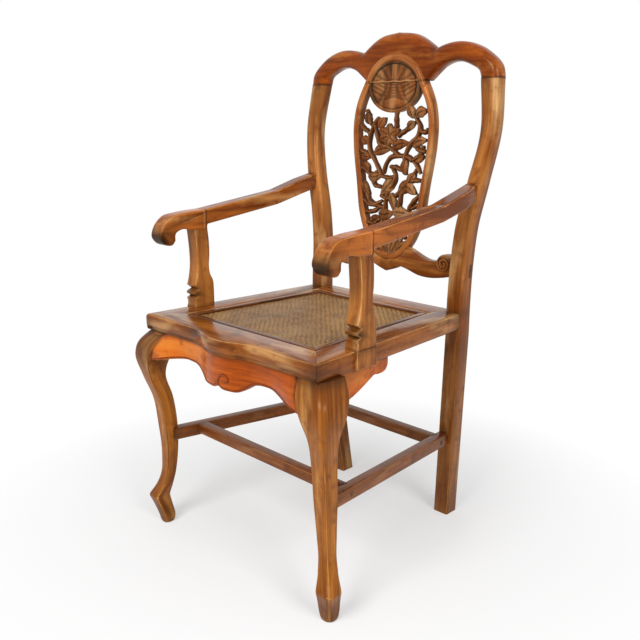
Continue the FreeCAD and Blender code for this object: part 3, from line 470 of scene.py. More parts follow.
# Rear posts
post = {
    "top": boxOf("crest_rail")[0][2], "deep": 37, "block": 436, "foot": (179, 236), "rows": (30, 68),
    "z": [436, 500, 601, 662, 750, 850, 950], "x": [217, 217, 219, 225.2, 244.1, 260, 254],
    "y": [198, 198, 202, 203.3, 207.9, 219.5, 231], "wide": [37, 37, 37, 37, 37, 37, 44],
    "roundAt": [0, 480, 700, 820, 950], "round": [4, 4, 7, 12, 13],
    "wornAndLitAt": [0, 500, 900], "wornAndLit": [1, 0.8, 0.4], "jointRows": (4, 1.5), "jointDirt": 1.2,
    "seatBand": (484, 9, 0.35), "legShade": (455, -40, 0.3), "headShade": (840, 110, 0.3)}
postZ = np.r_[
    np.linspace(0, post["block"], post["rows"][0]),
    np.linspace(post["block"], post["top"] - post["jointRows"][0], post["rows"][1])[1:],
    post["top"] - post["jointRows"][1], post["top"]]


def postLine(name, foot):
    # straight from the foot to the seat block, then a smooth curve through the rows
    upper = valueThrough(post["z"], post[name], np.maximum(postZ, post["block"]))
    return np.where(postZ < post["block"], foot + (post[name][0] - foot) * postZ / post["block"], upper)


postX, postY = postLine("x", post["foot"][0]), postLine("y", post["foot"][1])
postWide = postLine("wide", post["deep"])
postRound = np.interp(postZ, post["roundAt"], post["round"])
ringX, ringY, ringWearAndHighlight = softSquare(postX - postWide, postX, postY, postY + post["deep"], postRound)
postGrain = stacked(ringX - postX[:, None], ringY - postY[:, None], postZ[:, None])
postWearAndHighlight = np.interp(postZ, post["wornAndLitAt"], post["wornAndLit"])[:, None] * ringWearAndHighlight
postShell = gridShell(stacked(ringX, ringY, postZ[:, None]), postWearAndHighlight, postGrain)


def postDirtAndShade(x, y, z):
    # the joint line under the crest, dirt at the seat, the darker head, and painted shade on the leg below
    # the seat
    shade = fade(z, *post["legShade"]) + fade(z, *post["headShade"])
    return band(z, post["top"], post["jointDirt"]) + band(z, *post["seatBand"]) + shade


makePair("post", addDirtAndShade(postShell, postDirtAndShade), wood["honey"], "honey_wood", "rear_post")
print("posts")

# Crest rail
crest = {
    "base": post["top"], "back": boxOf("crest_rail")[1][1], "thick": 37, "round": 15, "rearRound": 12,
    "wornAndLit": 0.45, "dip": (98, 58, 7, 9, 0.5),
    "shoulder": [(254, 0), (250, 20), (221, 49), (158, 72), (115, 67), (98, 61)],
    "crown": [(98, 61), (80, 74), (45, 93), (0, 99.4)],
    "under": [(84, 0), (100, 13), (118, 26), (153, 34), (186, 25), (206, 12), (210, 0)]}
underRun = smoothThrough(crest["under"], 40)
topRun = np.concatenate([smoothThrough(crest["shoulder"], 56), smoothThrough(crest["crown"], 26)[1:]])
topRun = np.concatenate([topRun, (topRun * flipX)[::-1][1:]])
postJoint = np.stack([underRun[-1], topRun[0]])
crestLoop = closedLoop(
    (topRun, False), (straight((postJoint * flipX)[::-1]), True), ((underRun * flipX)[::-1], False),
    (straight([underRun[0] * flipX, underRun[0]]), True), (underRun, False), (straight(postJoint), True))


def crestPlace(x, up, y):
    # heights count from the posts' heads
    return np.stack([x, y, crest["base"] + up], -1)


def crestGrime(x, y, z):
    # the joint line on the posts, and dirt in the dips between the lobes
    return band(z, crest["base"], post["jointDirt"]) + blot(np.abs(x), z - crest["base"], *crest["dip"])


crestSection = roundEdges(
    crest["back"] - crest["thick"], crest["back"], crest["round"], crest["rearRound"], crest["wornAndLit"])
crestShell = addDirtAndShade(slab(crestLoop, crestSection, crestPlace), crestGrime)
makePiece("crest", crestShell, wood["crest"], "honey_wood", "crest_rail")
print("crest")

# Splat rim: a half-round band round the egg, carried on over the crest
splat = {
    "low": 570, "half": 112, "front": 217, "lean": 9, "overlap": 4, "samples": 1600, "lead": 0.2, "every": 4,
    "egg": [(0, 0), (.31, .026), (.545, .097), (.76, .237), (.884, .447), (.99, .658), (1, .763),
            (.94, .868), (.732, 1), (.55, 1.085), (.29, 1.135), (0, 1.15)]}
splatTall = post["top"] - splat["low"]
rim = {"wide": 16, "high": 7, "deep": 20, "rows": 13, "wornAndLit": 0.5, "darkening": (0.3, 0.42, 0.48), "seam": 1.6}


def onSplat(x, up, depth):
    # a point behind the splat's face, which leans back evenly over its height
    face = splat["front"] + splat["lean"] * np.clip(up / splatTall, 0, 1)
    return np.stack([x, face + depth, splat["low"] + up], -1)


eggHalf = np.array(splat["egg"]) * [splat["half"], splatTall]
eggWhole = np.concatenate([(eggHalf * flipX)[::-1][:-1], eggHalf[:-1]])
eggTwice = np.concatenate([eggWhole[-splat["overlap"]:], eggWhole, eggWhole[:splat["overlap"]]])
eggRound = smoothThrough(eggTwice, splat["samples"])
eggAngle = np.unwrap(np.arctan2(eggRound[:, 1] - splatTall / 2, eggRound[:, 0]))
eggStart = np.searchsorted(eggAngle, eggAngle[0] + splat["lead"])
eggEnd = np.searchsorted(eggAngle, eggAngle[eggStart] + 2 * math.pi)
eggPath = eggRound[eggStart:eggEnd:splat["every"]]


def rimShell():
    # a half ellipse (inset, depth) carried round the egg
    turn = np.linspace(0, np.pi, rim["rows"])
    inset = np.r_[0, rim["wide"] / 2 * (1 - np.cos(turn)), rim["wide"]]
    depth = np.r_[rim["deep"], rim["high"] * (1 - np.sin(turn)), rim["deep"]]
    # pale along the crown: wear with painted highlight; darker on the outside wall, the flanks and the inside
    # wall: painted shade
    wearAndHighlight = np.r_[0, rim["wornAndLit"] * np.sin(turn) ** 4, 0]
    outside, sides, inside = rim["darkening"]
    dirtAndShade = np.r_[outside, sides * np.abs(np.cos(turn)) ** 6, inside]
    step = outwardSteps(eggPath, np.zeros(len(eggPath), bool))
    rings = eggPath[None] - inset[:, None, None] * step[None]
    points = onSplat(rings[..., 0], rings[..., 1], depth[:, None])
    grain = stacked(inset[:, None], depth[:, None], lengthAlong(eggPath)[None])
    darkening = dirtAndShade[:, None] + band(rings[..., 1], splatTall, rim["seam"])
    parts = (points, np.broadcast_to(wearAndHighlight[:, None], darkening.shape), grain, darkening)
    return gridShell(*[np.concatenate([part, part[:1]]) for part in parts], caps=False)


makePiece("splatRim", rimShell(), wood["rim"], "carved_wood", "splat")
print("rim")

# Roundel: a low disc half on the crest and half on the splat, carved with fans and fronds
roundel = {
    "up": splatTall - 10, "wide": 70, "high": 54, "set": 4.5, "deep": 14, "rows": 90, "turns": 300,
    "heart": 0.01, "edge": 0.985, "field": 0.86, "seam": (-2, 0.8, 0.8), "border": 2.6, "rays": 1.2,
    "column": 1.8, "stems": 1.8, "fronds": 1.1, "mound": 1.6, "bar": 2.2}


def roundelShell():
    # a polar grid whose height adds a border, a bar on the joint, rays above it and stems and fronds below;
    # places and widths are shares of the radius
    radius = np.r_[np.linspace(roundel["heart"], roundel["edge"], roundel["rows"]), 1.0, 1.0][:, None]
    turn = np.linspace(0, 2 * np.pi, roundel["turns"], endpoint=False)[None]
    x, up = radius * np.cos(turn), radius * np.sin(turn)
    side = np.abs(x)
    joint = (splatTall - roundel["up"]) / roundel["high"]
    above, below = fade(up, joint + 0.07, 0.05), fade(up, joint - 0.05, -0.05)
    fall = 0.3 * fade(up, joint, -0.8) ** 2
    border = roundel["border"] * ridge(radius - 0.93, 0.05) * below
    rays = above * (0.5 + 0.5 * np.cos(np.arctan2(side, up - joint + 0.25) * 17)) * fade(side, 0.08, 0.05)
    knots = 0.6 * below * (up > -0.4) * np.cos(up * 30) ** 2
    column = ridge(np.maximum(side - 0.05, 0), 0.03) * (above + knots)
    bar = ridge(up - joint - 0.015 * np.cos(x * 14), 0.05) * (radius < 0.97)
    beads = 0.65 + 0.35 * np.cos(up * 44)
    stems = ridge(side - 0.2 - fall, 0.05) * below * fade(up, -0.6, 0.06) * beads
    lines = 0.5 + 0.5 * np.cos((up * 1.5 - side * 1.1) * 19 + 2 * np.sin(up * 5))
    fronds = fade(side - fall, 0.3, 0.06) * below * lines
    mound = below * fade(up + side * 0.3, -0.4, -0.1)
    carved = {"rays": rays, "column": column, "stems": stems, "fronds": fronds, "mound": mound}
    forms = sum(roundel[name] * form for name, form in carved.items())
    relief = fade(radius, roundel["field"], -0.04) * forms + roundel["bar"] * bar
    height = relief + border
    height[-1] = -roundel["deep"]
    upMm = roundel["up"] + up * roundel["high"]
    points = onSplat(x * roundel["wide"], upMm, roundel["set"] - height)
    # darker in the low ground and round the field: dust with painted shade; a dark joint line at the seam
    hollow = 0.8 * np.clip(0.7 - relief / 1.3, 0, 0.7) * (1 - mound)
    darkening = hollow + band(radius, roundel["field"], 0.03, 0.6) + band(upMm - splatTall, *roundel["seam"])
    wearAndHighlight = fade(relief, 0.8, 1.2) * (1 - mound) + border / 3
    return gridShell(points, np.clip(wearAndHighlight, 0, 1), None, np.clip(darkening, 0, 1))


makePiece("roundel", roundelShell(), wood["carved"], "carved_wood")
print("roundel")

# Openwork: stems and leaves drawn as (across, up) from the splat's foot
vines = [
    [(-40, 306), (-51, 293), (-61, 275), (-67, 257), (-66, 238), (-50, 215), (-34, 194), (-27, 182)],
    [(-76, 323), (-68, 306), (-59, 289)],
    [(-51, 293), (-46, 270), (-33, 250), (-13, 245)],
    [(9, 320), (8, 286), (0, 268)],
    [(16, 266), (35, 280), (55, 291)],
    [(50, 325), (62, 303), (72, 286), (68, 269), (53, 254), (41, 236), (36, 223), (37, 200)],
    [(82, 249), (80, 236), (68, 223), (50, 216)],
    [(-22, 187), (-15, 207), (-2, 222), (22, 226), (44, 224), (60, 215), (73, 202), (80, 191)],
    [(-5, 202), (13, 202), (31, 195), (40, 188)],
    [(70, 201), (59, 186), (46, 166), (36, 158)],
    [(3, 199), (13, 186), (10, 169), (-4, 154), (-27, 139)],
    [(-9, 148), (-13, 124), (-16, 100), (-22, 78), (-20, 40)],
    [(-6, 138), (5, 118), (17, 103), (24, 70), (14, 36)],
    [(-57, 180), (-48, 163), (-27, 157)],
    [(-82, 163), (-69, 142), (-59, 126), (-40, 120), (-25, 127)],
    [(-80, 128), (-58, 118), (-37, 117), (-18, 112)],
    [(-74, 101), (-46, 103), (-26, 117)],
    [(34, 160), (28, 130), (26, 109), (24, 70)],
    [(84, 150), (66, 132), (52, 112), (56, 92)],
    [(72, 96), (52, 84), (34, 60), (30, 40)],
    [(-64, 78), (-46, 76), (-26, 88)],
    [(-92, 292), (-80, 282), (-66, 272)],
    [(-92, 236), (-78, 232), (-62, 226)],
    [(-88, 198), (-74, 192), (-52, 184), (-34, 194)],
    [(94, 282), (84, 276), (72, 286)],
    [(90, 236), (74, 240), (56, 250)],
    [(82, 176), (66, 176), (50, 172)],
    [(84, 128), (72, 122), (58, 116)],
    [(-13, 245), (6, 236), (22, 226)],
    [(-27, 182), (-8, 178), (12, 182)],
    [(-27, 139), (-8, 134), (16, 142), (34, 160)],
    [(-44, 52), (-30, 62), (-22, 78)],
    [(46, 50), (34, 58), (24, 70)]]
# first point, middle point, tip and width
leaves = [
    ((-72, 318), (-70, 300), (-66, 292), 9), ((-40, 285), (-30, 296), (-22, 306), 10),
    ((-52, 229), (-30, 239), (-1, 242), 11), ((0, 242), (23, 251), (45, 254), 10),
    ((42, 282), (52, 292), (60, 298), 9), ((42, 330), (50, 318), (56, 304), 10),
    ((88, 320), (74, 316), (64, 306), 11), ((56, 250), (73, 258), (90, 260), 10),
    ((84, 228), (74, 222), (62, 218), 9), ((-88, 262), (-80, 258), (-70, 250), 10),
    ((-86, 224), (-76, 222), (-62, 222), 9), ((-82, 206), (-72, 200), (-64, 190), 11),
    ((-64, 180), (-48, 178), (-27, 184), 10), ((40, 219), (35, 200), (39, 186), 9),
    ((64, 190), (54, 178), (46, 164), 10), ((12, 182), (-2, 166), (-28, 138), 13),
    ((24, 146), (46, 162), (70, 147), 13), ((-80, 168), (-72, 150), (-62, 138), 9),
    ((0, 146), (8, 128), (14, 114), 9), ((-30, 100), (-10, 98), (8, 104), 13),
    ((8, 104), (32, 106), (56, 102), 12), ((-60, 70), (-40, 84), (-20, 86), 11),
    ((40, 70), (54, 84), (70, 92), 11), ((-34, 40), (-10, 52), (12, 44), 13)]
flower = {
    "heart": (-8, 268), "wide": 10,
    "tips": [(-38, 282), (-12, 294), (16, 282), (10, 250), (-18, 244), (-38, 258)]}
footFan = {
    "heartShare": 0.2, "heartUp": 8, "wide": 9,
    "tips": [(-52, 46), (-38, 58), (-20, 64), (0, 66), (20, 64), (38, 58), (52, 46)]}
stem = {"half": 5.6, "deep": 7.5, "set": 9, "perPoint": 10, "weave": 1.8, "sides": 12, "shade": 0.75}
leaf = {
    "wide": 1.35, "rows": 21, "front": 15, "back": 4, "taper": 0.3, "dome": 5, "rib": 2, "ribWide": 0.16,
    "vein": 0.8, "veins": 9, "face": 5.5, "deep": 15, "sway": 1.5}


def vineShell(points):
    # a round stem that swells along its middle and weaves in and out of the plank, its back half darkened as
    # painted shade
    flat = smoothThrough(points, stem["perPoint"] * len(points))
    share = np.linspace(0, 1, len(flat))
    swell = 0.75 + 0.25 * np.sin(share * math.pi) + 0.08 * np.sin(share * 23)
    line = onSplat(*flat.T, stem["set"] + stem["weave"] * np.sin(share * 7 + points[0][0]))
    return tube(line, stem["half"] * swell, stem["deep"] * swell, stem["sides"], shade=stem["shade"])


def leafShell(first, middle, last, width):
    # an almond: half width follows sin(pi u) drawn to the tip, front domed with a sunk midrib and side veins
    path = smoothThrough([first, middle, last], leaf["rows"])
    share = np.linspace(0, 1, leaf["rows"])
    ahead = np.gradient(path, axis=0)
    side = np.stack([ahead[:, 1], -ahead[:, 0]], 1) / np.linalg.norm(ahead, axis=1)[:, None]
    half = leaf["wide"] * width * np.sin(np.pi * (share * 0.96 + 0.02)) ** 0.7 * (1 - leaf["taper"] * share)
    across = np.r_[np.linspace(-1, 1, leaf["front"]), np.linspace(1, -1, leaf["back"] + 2)[1:-1]]
    front = np.r_[np.ones(leaf["front"]), np.zeros(leaf["back"])]
    flat = path[:, None] + side[:, None] * (half[:, None] * across)[..., None]
    swell = np.sin(np.pi * (share * 0.9 + 0.05))[:, None]
    rib = ridge(across, leaf["ribWide"])[None] * front
    vein = np.cos((share[:, None] * leaf["veins"] + np.abs(across)[None] * 2) * np.pi)
    vein = front * 0.5 * vein * (1 - rib)
    lift = swell * (front * leaf["dome"] * (1 - across ** 2) - leaf["rib"] * rib + leaf["vein"] * vein)
    depth = np.where(front > 0, leaf["face"] - lift, leaf["deep"]) + leaf["sway"] * np.sin(first[0] * 0.7)
    # pale shoulders: wear with painted highlight; a darker sunk midrib, back and edges and lighter raised
    # veins: painted shade and painted highlight
    wearAndHighlight = front * np.clip(1 - np.abs(np.abs(across) - 0.5) * 3, 0, 1)
    dirtAndShade = np.clip(0.8 * rib + 0.9 * (1 - front) - 0.5 * vein + 0.7 * np.abs(across) ** 4, 0, 1)
    return gridShell(onSplat(flat[..., 0], flat[..., 1], depth), wearAndHighlight, None, dirtAndShade)


def petalShell(heart, tip, width):
    # a straight leaf from a heart to its tip
    return leafShell(heart, (np.array(tip) + heart) / 2, tip, width)


openwork = [vineShell(points) for points in vines]
openwork += [leafShell(*row) for row in leaves]
openwork += [petalShell(flower["heart"], tip, flower["wide"]) for tip in flower["tips"]]
for tip in footFan["tips"]:
    heart = (tip[0] * footFan["heartShare"], footFan["heartUp"])
    openwork.append(petalShell(heart, tip, footFan["wide"]))
makePiece("openwork", merged(*openwork), wood["carved"], "carved_wood")
print("openwork")

# Lower back rail, with a bead wound into each volute
railLow, railHigh = boxOf("lower_back_rail")
lowRail = {
    "front": railLow[1], "back": railHigh[1], "round": 6, "post": 186, "wornAndLit": 0.6,
    "dish": [(0, 570), (35, 580), (57, 603)],
    "top": [(57, 603), (74, 596), (95, 587), (113, 582), (133, 582)],
    "notch": [(0, 544), (19, 550), (41, 559)],
    "low": [(41, 559), (62, 554), (89, 546), (115, 544), (150, 548), (183, 556)]}
volute = {
    "x": 158, "z": 579, "radius": 20, "rows": 20, "end": 0.1, "turns": (0.9, 4.4), "reach": (0.8, 0.12),
    "beadRows": 80, "beadHalf": (2.8, 1.8), "beadDeep": (3, 2), "hollow": 0.85, "darkening": 0.5}


def onVolute(reach, turn):
    # a point at a share of the volute's radius
    distance = reach * volute["radius"]
    return volute["x"] + distance * np.cos(turn), volute["z"] + distance * np.sin(turn)


voluteRun = np.stack(onVolute(1, np.linspace(np.pi, volute["end"], volute["rows"])), 1)
topHalf = [smoothThrough(lowRail["dish"], 16), smoothThrough(lowRail["top"], 24)[1:], voluteRun[2:]]
topHalf = np.concatenate(topHalf + [[(lowRail["post"], voluteRun[-1][1])]])
lowHalf = [smoothThrough(lowRail["notch"], 10), smoothThrough(lowRail["low"], 30)[1:]]
lowHalf = np.concatenate(lowHalf + [[(lowRail["post"], lowRail["low"][-1][1])]])
railLoop = closedLoop(
    (np.concatenate([(lowHalf * flipX)[::-1], lowHalf[1:]]), False),
    (straight([lowHalf[-1], topHalf[-1]]), True),
    (np.concatenate([topHalf[::-1], (topHalf * flipX)[1:]]), False),
    (straight([topHalf[-1] * flipX, lowHalf[-1] * flipX]), True))


def spiralShell():
    # a bead wound inward: radius falls evenly with the turn
    turn, reach, half, deep = [
        np.linspace(*volute[name], volute["beadRows"]) for name in ("turns", "reach", "beadHalf", "beadDeep")]
    x, z = onVolute(reach, turn * np.pi)
    return tube(stacked(x, lowRail["front"], z), half, deep)


def railGrime(x, y, z):
    # dirt in the volutes' hollows
    reach = np.hypot(np.abs(x) - volute["x"], z - volute["z"]) / volute["radius"]
    return volute["darkening"] * (reach < volute["hollow"]) * (y < lowRail["front"] + 1)


railSection = roundEdges(
    lowRail["front"], lowRail["back"], lowRail["round"], lowRail["round"], lowRail["wornAndLit"])
railShell = addDirtAndShade(slab(railLoop, railSection, uprightPlace), railGrime)
spiral = spiralShell()
makePiece(
    "lowerRail", merged(railShell, spiral, mirrored(spiral)), wood["honey"], "honey_wood", "lower_back_rail")
print("lower rail")

# Arms: a long board that turns slightly outward to the front and narrows at the post
arm = {
    "low": 211, "wide": 36, "round": 5, "post": 198, "front": -124, "turn": 2.0, "taper": (161, 74, 0.5),
    "scarf": -115, "kink": 89, "top": [(218, 753.6), (89, 717), (-115, 690.5)],
    "scroll": [(-115, 690.5), (-171, 687), (-204, 681), (-225, 660), (-230, 642), (-215, 625),
               (-199.5, 624), (-192.5, 632)],
    "curl": [(-192.5, 632), (-191, 646), (-178, 653), (-148, 650), (-115, 648)],
    "under": [(-115, 648), (-110, 659), (89, 686), (218, 718)], "step": 3, "faceRows": (8, 28, 6),
    "postDirt": (198, 4, 0.7), "supportDirt": (22, 0.4), "supportTop": 652, "scarfDirt": (1.6, 0.8),
    "curlDirt": (-190, 640, 12, 12, 0.5), "rollShade": (-230, 636, 24, 24, 0.85), "scrollDarkening": (-150, -40, 0.25),
    "rubbed": [(89, 2.5), (-119, 2.5), (189, 3)], "rollHighlight": (-220, 668, 7, 7)}
armLoop = closedLoop(
    (straight(arm["top"], arm["step"]), False), (smoothThrough(arm["scroll"], 60), False),
    (smoothThrough(arm["curl"], 24), False), (straight(arm["under"], arm["step"]), False),
    (straight([arm["under"][-1], arm["top"][0]]), True))


def armPlace(y, z, x):
    # the board's own x, narrowed towards the post and moved outward with the distance from it
    out = arm["turn"] * (arm["post"] - y) / (arm["post"] - arm["front"])
    return np.stack([arm["low"] + out + x * (1 - fade(y, *arm["taper"])), y, z], -1)


def armDirtAndShade(x, y, z):
    # the scarf seam behind the scroll, dirt where the arm meets post and support, dirt in the curl, painted
    # shade under the scroll's roll, and darker towards the scroll
    joint = band(y, *arm["postDirt"]) + band(y, arm["front"], *arm["supportDirt"]) * (z < arm["supportTop"])
    roll = blot(y, z, *arm["curlDirt"]) + blot(y, z, *arm["rollShade"]) + fade(y, *arm["scrollDarkening"])
    return band(y, arm["scarf"], *arm["scarfDirt"]) + joint + roll


armSection = roundEdges(0, arm["wide"], arm["round"], arm["round"])
faceRows = stacked(np.linspace(*arm["faceRows"]), 0, 0)
armSection = np.insert(armSection, len(armSection) // 2, faceRows, 0)
armShell = slab(armLoop, armSection, armPlace)
armY, armZ = armShell["points"].T[1:]
# pale lines at the seams and kink, and a painted highlight on the scroll's roll
armWearAndHighlight = sum(band(armY, *row) for row in arm["rubbed"]) + blot(armY, armZ, *arm["rollHighlight"])
armShell["wearAndHighlight"] = np.maximum(armShell["wearAndHighlight"], armWearAndHighlight)
# place along the arm, lower end, upper end, darkness and faces of each seam
seams = [
    (arm["scarf"], 650, 688, 0.9, (0, arm["wide"])), (arm["kink"], 688, 715, 0.0, (0,)),
    (arm["scarf"] - 6, 651, 687, 0.0, (0, arm["wide"]))]
seam = {"rows": 12, "half": 0.35, "deep": 0.9, "sides": 8}


def seamLine(y, low, high, dark, faces):
    # a hair-thin line up the arm's inner or outer face, dark or pale
    along, z = np.full(seam["rows"], y), np.linspace(low, high, seam["rows"])
    lines = merged(*[
        tube(armPlace(along, z, face), seam["half"], seam["deep"], seam["sides"]) for face in faces])
    return {**lines, "dirtAndShade": np.full(len(lines["dirtAndShade"]), dark), "wearAndHighlight": np.full(len(lines["wearAndHighlight"]), 1 - dark)}


armWhole = merged(addDirtAndShade(armShell, armDirtAndShade), *[seamLine(*row) for row in seams])
makePair("arm", armWhole, wood["arm"], "honey_wood", "arm")

# Arm supports, with the lap over the side rail
supportLow, supportHigh = boxOf("arm_support_right")
support = {
    "low": supportLow[0], "high": supportHigh[0], "round": 5, "lap": 14, "lapRound": (0.5, 2), "lapUp": 1,
    "seat": 485, "rail": 451, "heel": -98, "toe": -150,
    "front": [(-150, 531), (-146, 544), (-141, 571), (-140.6, 598), (-142.5, 625), (-148, 672)],
    "rear": [(-113, 672), (-107, 621), (-107, 594), (-109, 567), (-107, 553), (-100, 539), (-98, 516)],
    "nicks": [(-150, 485), (-149, 497), (-152, 504), (-143, 508), (-151, 513), (-152, 518), (-140, 523),
              (-150, 531)],
    "nickDirt": (-144, 514, 12, 15, 0.8), "seatBand": (486, 4, 0.5), "armDirt": (664, 8, 0.6)}
heel, toe = (support["heel"], support["seat"]), (support["toe"], support["seat"])
supportLoop = closedLoop(
    (smoothThrough(support["front"], 30), False),
    (straight([support["front"][-1], support["rear"][0]]), True),
    (smoothThrough(support["rear"], 34), False), (straight([support["rear"][-1], heel], 10), False),
    (straight([heel, toe]), True), (straight(support["nicks"], 6), False))
lapHeel, lapToe = [(y, support["seat"] + support["lapUp"]) for y in (support["heel"], support["toe"])]
lapEdge = [lapHeel, (support["heel"], support["rail"]), (support["toe"], support["rail"]), lapToe]
lapLoop = closedLoop((straight([lapToe, lapHeel]), True), (straight(lapEdge, 12), False))


def supportGrime(x, y, z):
    # dirt in the nicks, on the seat and under the arm
    return blot(y, z, *support["nickDirt"]) + band(z, *support["seatBand"]) + band(z, *support["armDirt"])


bodySection = roundEdges(support["low"], support["high"], support["round"], support["round"])
lapSection = roundEdges(support["high"] - support["lap"], support["high"], *support["lapRound"])
supportShell = merged(slab(supportLoop, bodySection, sidePlace, 1), slab(lapLoop, lapSection, sidePlace, 1))
makePair("support", addDirtAndShade(supportShell, supportGrime), wood["honey"], "honey_wood", "arm_support")
print("arms")

# Seat frame: mitred rails with eased edges, the front one swelling at its middle
sideLow, sideHigh = boxOf("seat_rail_right")
seat = {
    "top": sideHigh[2], "low": sideLow[2], "front": sideLow[1], "halfFront": sideHigh[0], "taper": 0.0734,
    "rail": 58, "innerFront": -191, "innerRear": 163, "bulge": 21, "bulgeHalf": 100, "postIn": 180,
    "postFront": 198, "back": 225, "seam": 0.35, "frontRows": 110, "joint": 100, "run": 40, "sideRun": 30,
    "rubbed": (-78, -6, 20, 5, 0.9), "rubbedTo": -245, "stain": (26, 26, 0.5), "footShade": (3, 0.5),
    "postDirt": (5, 0.6),
    # rows of height under the top, inset, and wear with painted highlight
    "easedTop": [(7, 0, .2), (4, .7, .6), (1.8, 2, 1), (.5, 3.8, .8), (0, 6, .2)],
    "plainFoot": [(34, 3, 0), (33, 1.6, .5), (31, .6, .8), (28, 0, .3)],
    "steppedFoot": [(34, 8, 0), (27, 8, .2), (25.5, 6, .6), (25, 1.5, .8), (23, 0, .6)]}


def outerX(y):
    # the seat's side edge, which draws in evenly to the back
    return seat["halfFront"] - (y - seat["front"]) * seat["taper"]


def serpentine(x):
    # two equal arcs: hollow from the straight edge, then the swell at the middle
    quarterSpan, half = seat["bulgeHalf"] / 2, seat["bulge"] / 2
    radius = (quarterSpan ** 2 + half ** 2) / (2 * half)
    reach = np.abs(x)
    hollow = radius - np.sqrt(radius ** 2 - np.clip(2 * quarterSpan - reach, 0, quarterSpan) ** 2)
    swell = 2 * half - radius + np.sqrt(radius ** 2 - np.clip(reach, 0, quarterSpan) ** 2)
    return seat["front"] - np.where(reach < quarterSpan, swell, hollow)


inner = np.array((outerX(seat["innerFront"]) - seat["rail"], seat["innerFront"]))
mitre = np.array((outerX(seat["innerRear"]) - seat["rail"], seat["innerRear"]))
corner = np.array((seat["halfFront"], seat["front"]))
postOuter = np.array((outerX(seat["postFront"]), seat["postFront"]))
postInner = np.array((seat["postIn"], seat["postFront"]))
back = np.array((seat["postIn"], seat["back"]))
gap = np.array((0, seat["seam"]))
frontX = np.linspace(seat["halfFront"], -seat["halfFront"], seat["frontRows"])


def jointRun(*points):
    # straight runs that meet another rail, so that they stay sharp
    return straight(points, seat["joint"]), True


def edgeRun(*points):
    # straight runs with an eased edge
    return straight(points, seat["run"]), False


frontLoop = closedLoop(
    (np.stack([frontX, serpentine(frontX)], 1) - gap, False),
    jointRun(corner * flipX - gap, inner * flipX - gap), edgeRun(inner * flipX - gap, inner - gap),
    jointRun(inner - gap, corner - gap))
sideLoop = closedLoop(
    (straight([corner + gap, postOuter], seat["sideRun"]), False),
    jointRun(postOuter, postInner, mitre - gap), edgeRun(mitre - gap, inner + gap),
    jointRun(inner + gap, corner + gap))
rearLoop = closedLoop(
    edgeRun(back, back * flipX), jointRun(back * flipX, postInner * flipX, mitre * flipX),
    edgeRun(mitre * flipX, mitre), jointRun(mitre, postInner, back))


def seatSection(foot):
    # the rows of a foot and of the eased top, as (height, inset, wear) from the foot up
    return np.array(seat[foot] + seat["easedTop"]) * [-1, 1, 1] + [seat["top"], 0, 0]


def seatDirtAndShade(x, y, z):
    # a rubbed dark patch on the front edge, stained corners, painted shade along the rails' foot under the
    # step, and dirt at the posts
    rubbed = blot(x, z - seat["top"], *seat["rubbed"]) * (y < seat["rubbedTo"])
    stain = blot(np.abs(x), y, *corner, *seat["stain"]) * (z < seat["top"] - 1)
    joints = band(z, seat["low"], *seat["footShade"]) + band(y, seat["postFront"], *seat["postDirt"])
    return rubbed + stain + joints


frontShell = addDirtAndShade(slab(frontLoop, seatSection("steppedFoot"), planPlace), seatDirtAndShade)
sideShell = addDirtAndShade(slab(sideLoop, seatSection("plainFoot"), planPlace, 1), seatDirtAndShade)
rearShell = slab(rearLoop, seatSection("plainFoot"), planPlace)
makePiece("seatFront", frontShell, wood["seat"], "honey_wood", "seat_rail_front")
makePair("seat", sideShell, wood["seat"], "honey_wood", "seat_rail")
makePiece("seatRear", rearShell, wood["seat"], "honey_wood", "seat_rail_rear")
print("seat frame")

# Cane panel: flat strands over one and under one, held by four dark strips
caneLow, caneHigh = boxOf("cane_panel")
cane = {
    "top": caneHigh[2] - 1, "pitch": 6.6, "thick": 0.6, "margin": 8, "perPitch": 6, "sharp": 2.2, "fewest": 6,
    "across": [-0.5, -0.22, 0.22, 0.5], "crown": [-0.25, 0.1, 0.1, -0.25], "edgeShade": [0.8, 0, 0, 0.8],
    "warpDarkening": 0.2, "weftDarkening": 0.6, "underShade": 0.85, "grainStep": 7}


def strands(isWarp):
    # height follows a smoothed square wave stepped one strand at a time
    pitch = cane["pitch"]
    lines, runs = [np.arange(caneLow[axis], caneHigh[axis], pitch) for axis in ((0, 1) if isWarp else (1, 0))]
    runs = np.arange(runs[0], runs[-1], pitch / cane["perPitch"])
    offsets = np.array(cane["across"]) * pitch
    # weft strands darker than warp strands
    darkening = cane["warpDarkening"] if isWarp else cane["weftDarkening"]
    shells = []
    for number, line in enumerate(lines):
        phase = ((runs - runs[0]) / pitch + number + (0.5 if isWarp else 1.5)) * math.pi
        wave = np.tanh(cane["sharp"] * np.sin(phase))
        spread, run = np.broadcast_arrays(line + offsets[None], runs[:, None])
        x, y = (spread, run) if isWarp else (run, spread)
        inside = np.abs(x).max(1) < outerX(y.max(1)) - seat["rail"] - cane["margin"]
        height = cane["top"] + cane["thick"] * wave[:, None] + np.array(cane["crown"])[None]
        points = np.stack([x, y, height], -1)[inside]
        grain = np.stack([spread + number * cane["grainStep"], height, run], -1)[inside]
        # darker where a strand dips under the others and along its edges: painted shade
        dirtAndShade = np.clip(darkening - cane["underShade"] * wave, 0, 1)[inside][:, None] + np.array(cane["edgeShade"])
        if inside.sum() > cane["fewest"]:
            shells.append(gridShell(points, 0.0, grain, dirtAndShade))
    return merged(*shells)


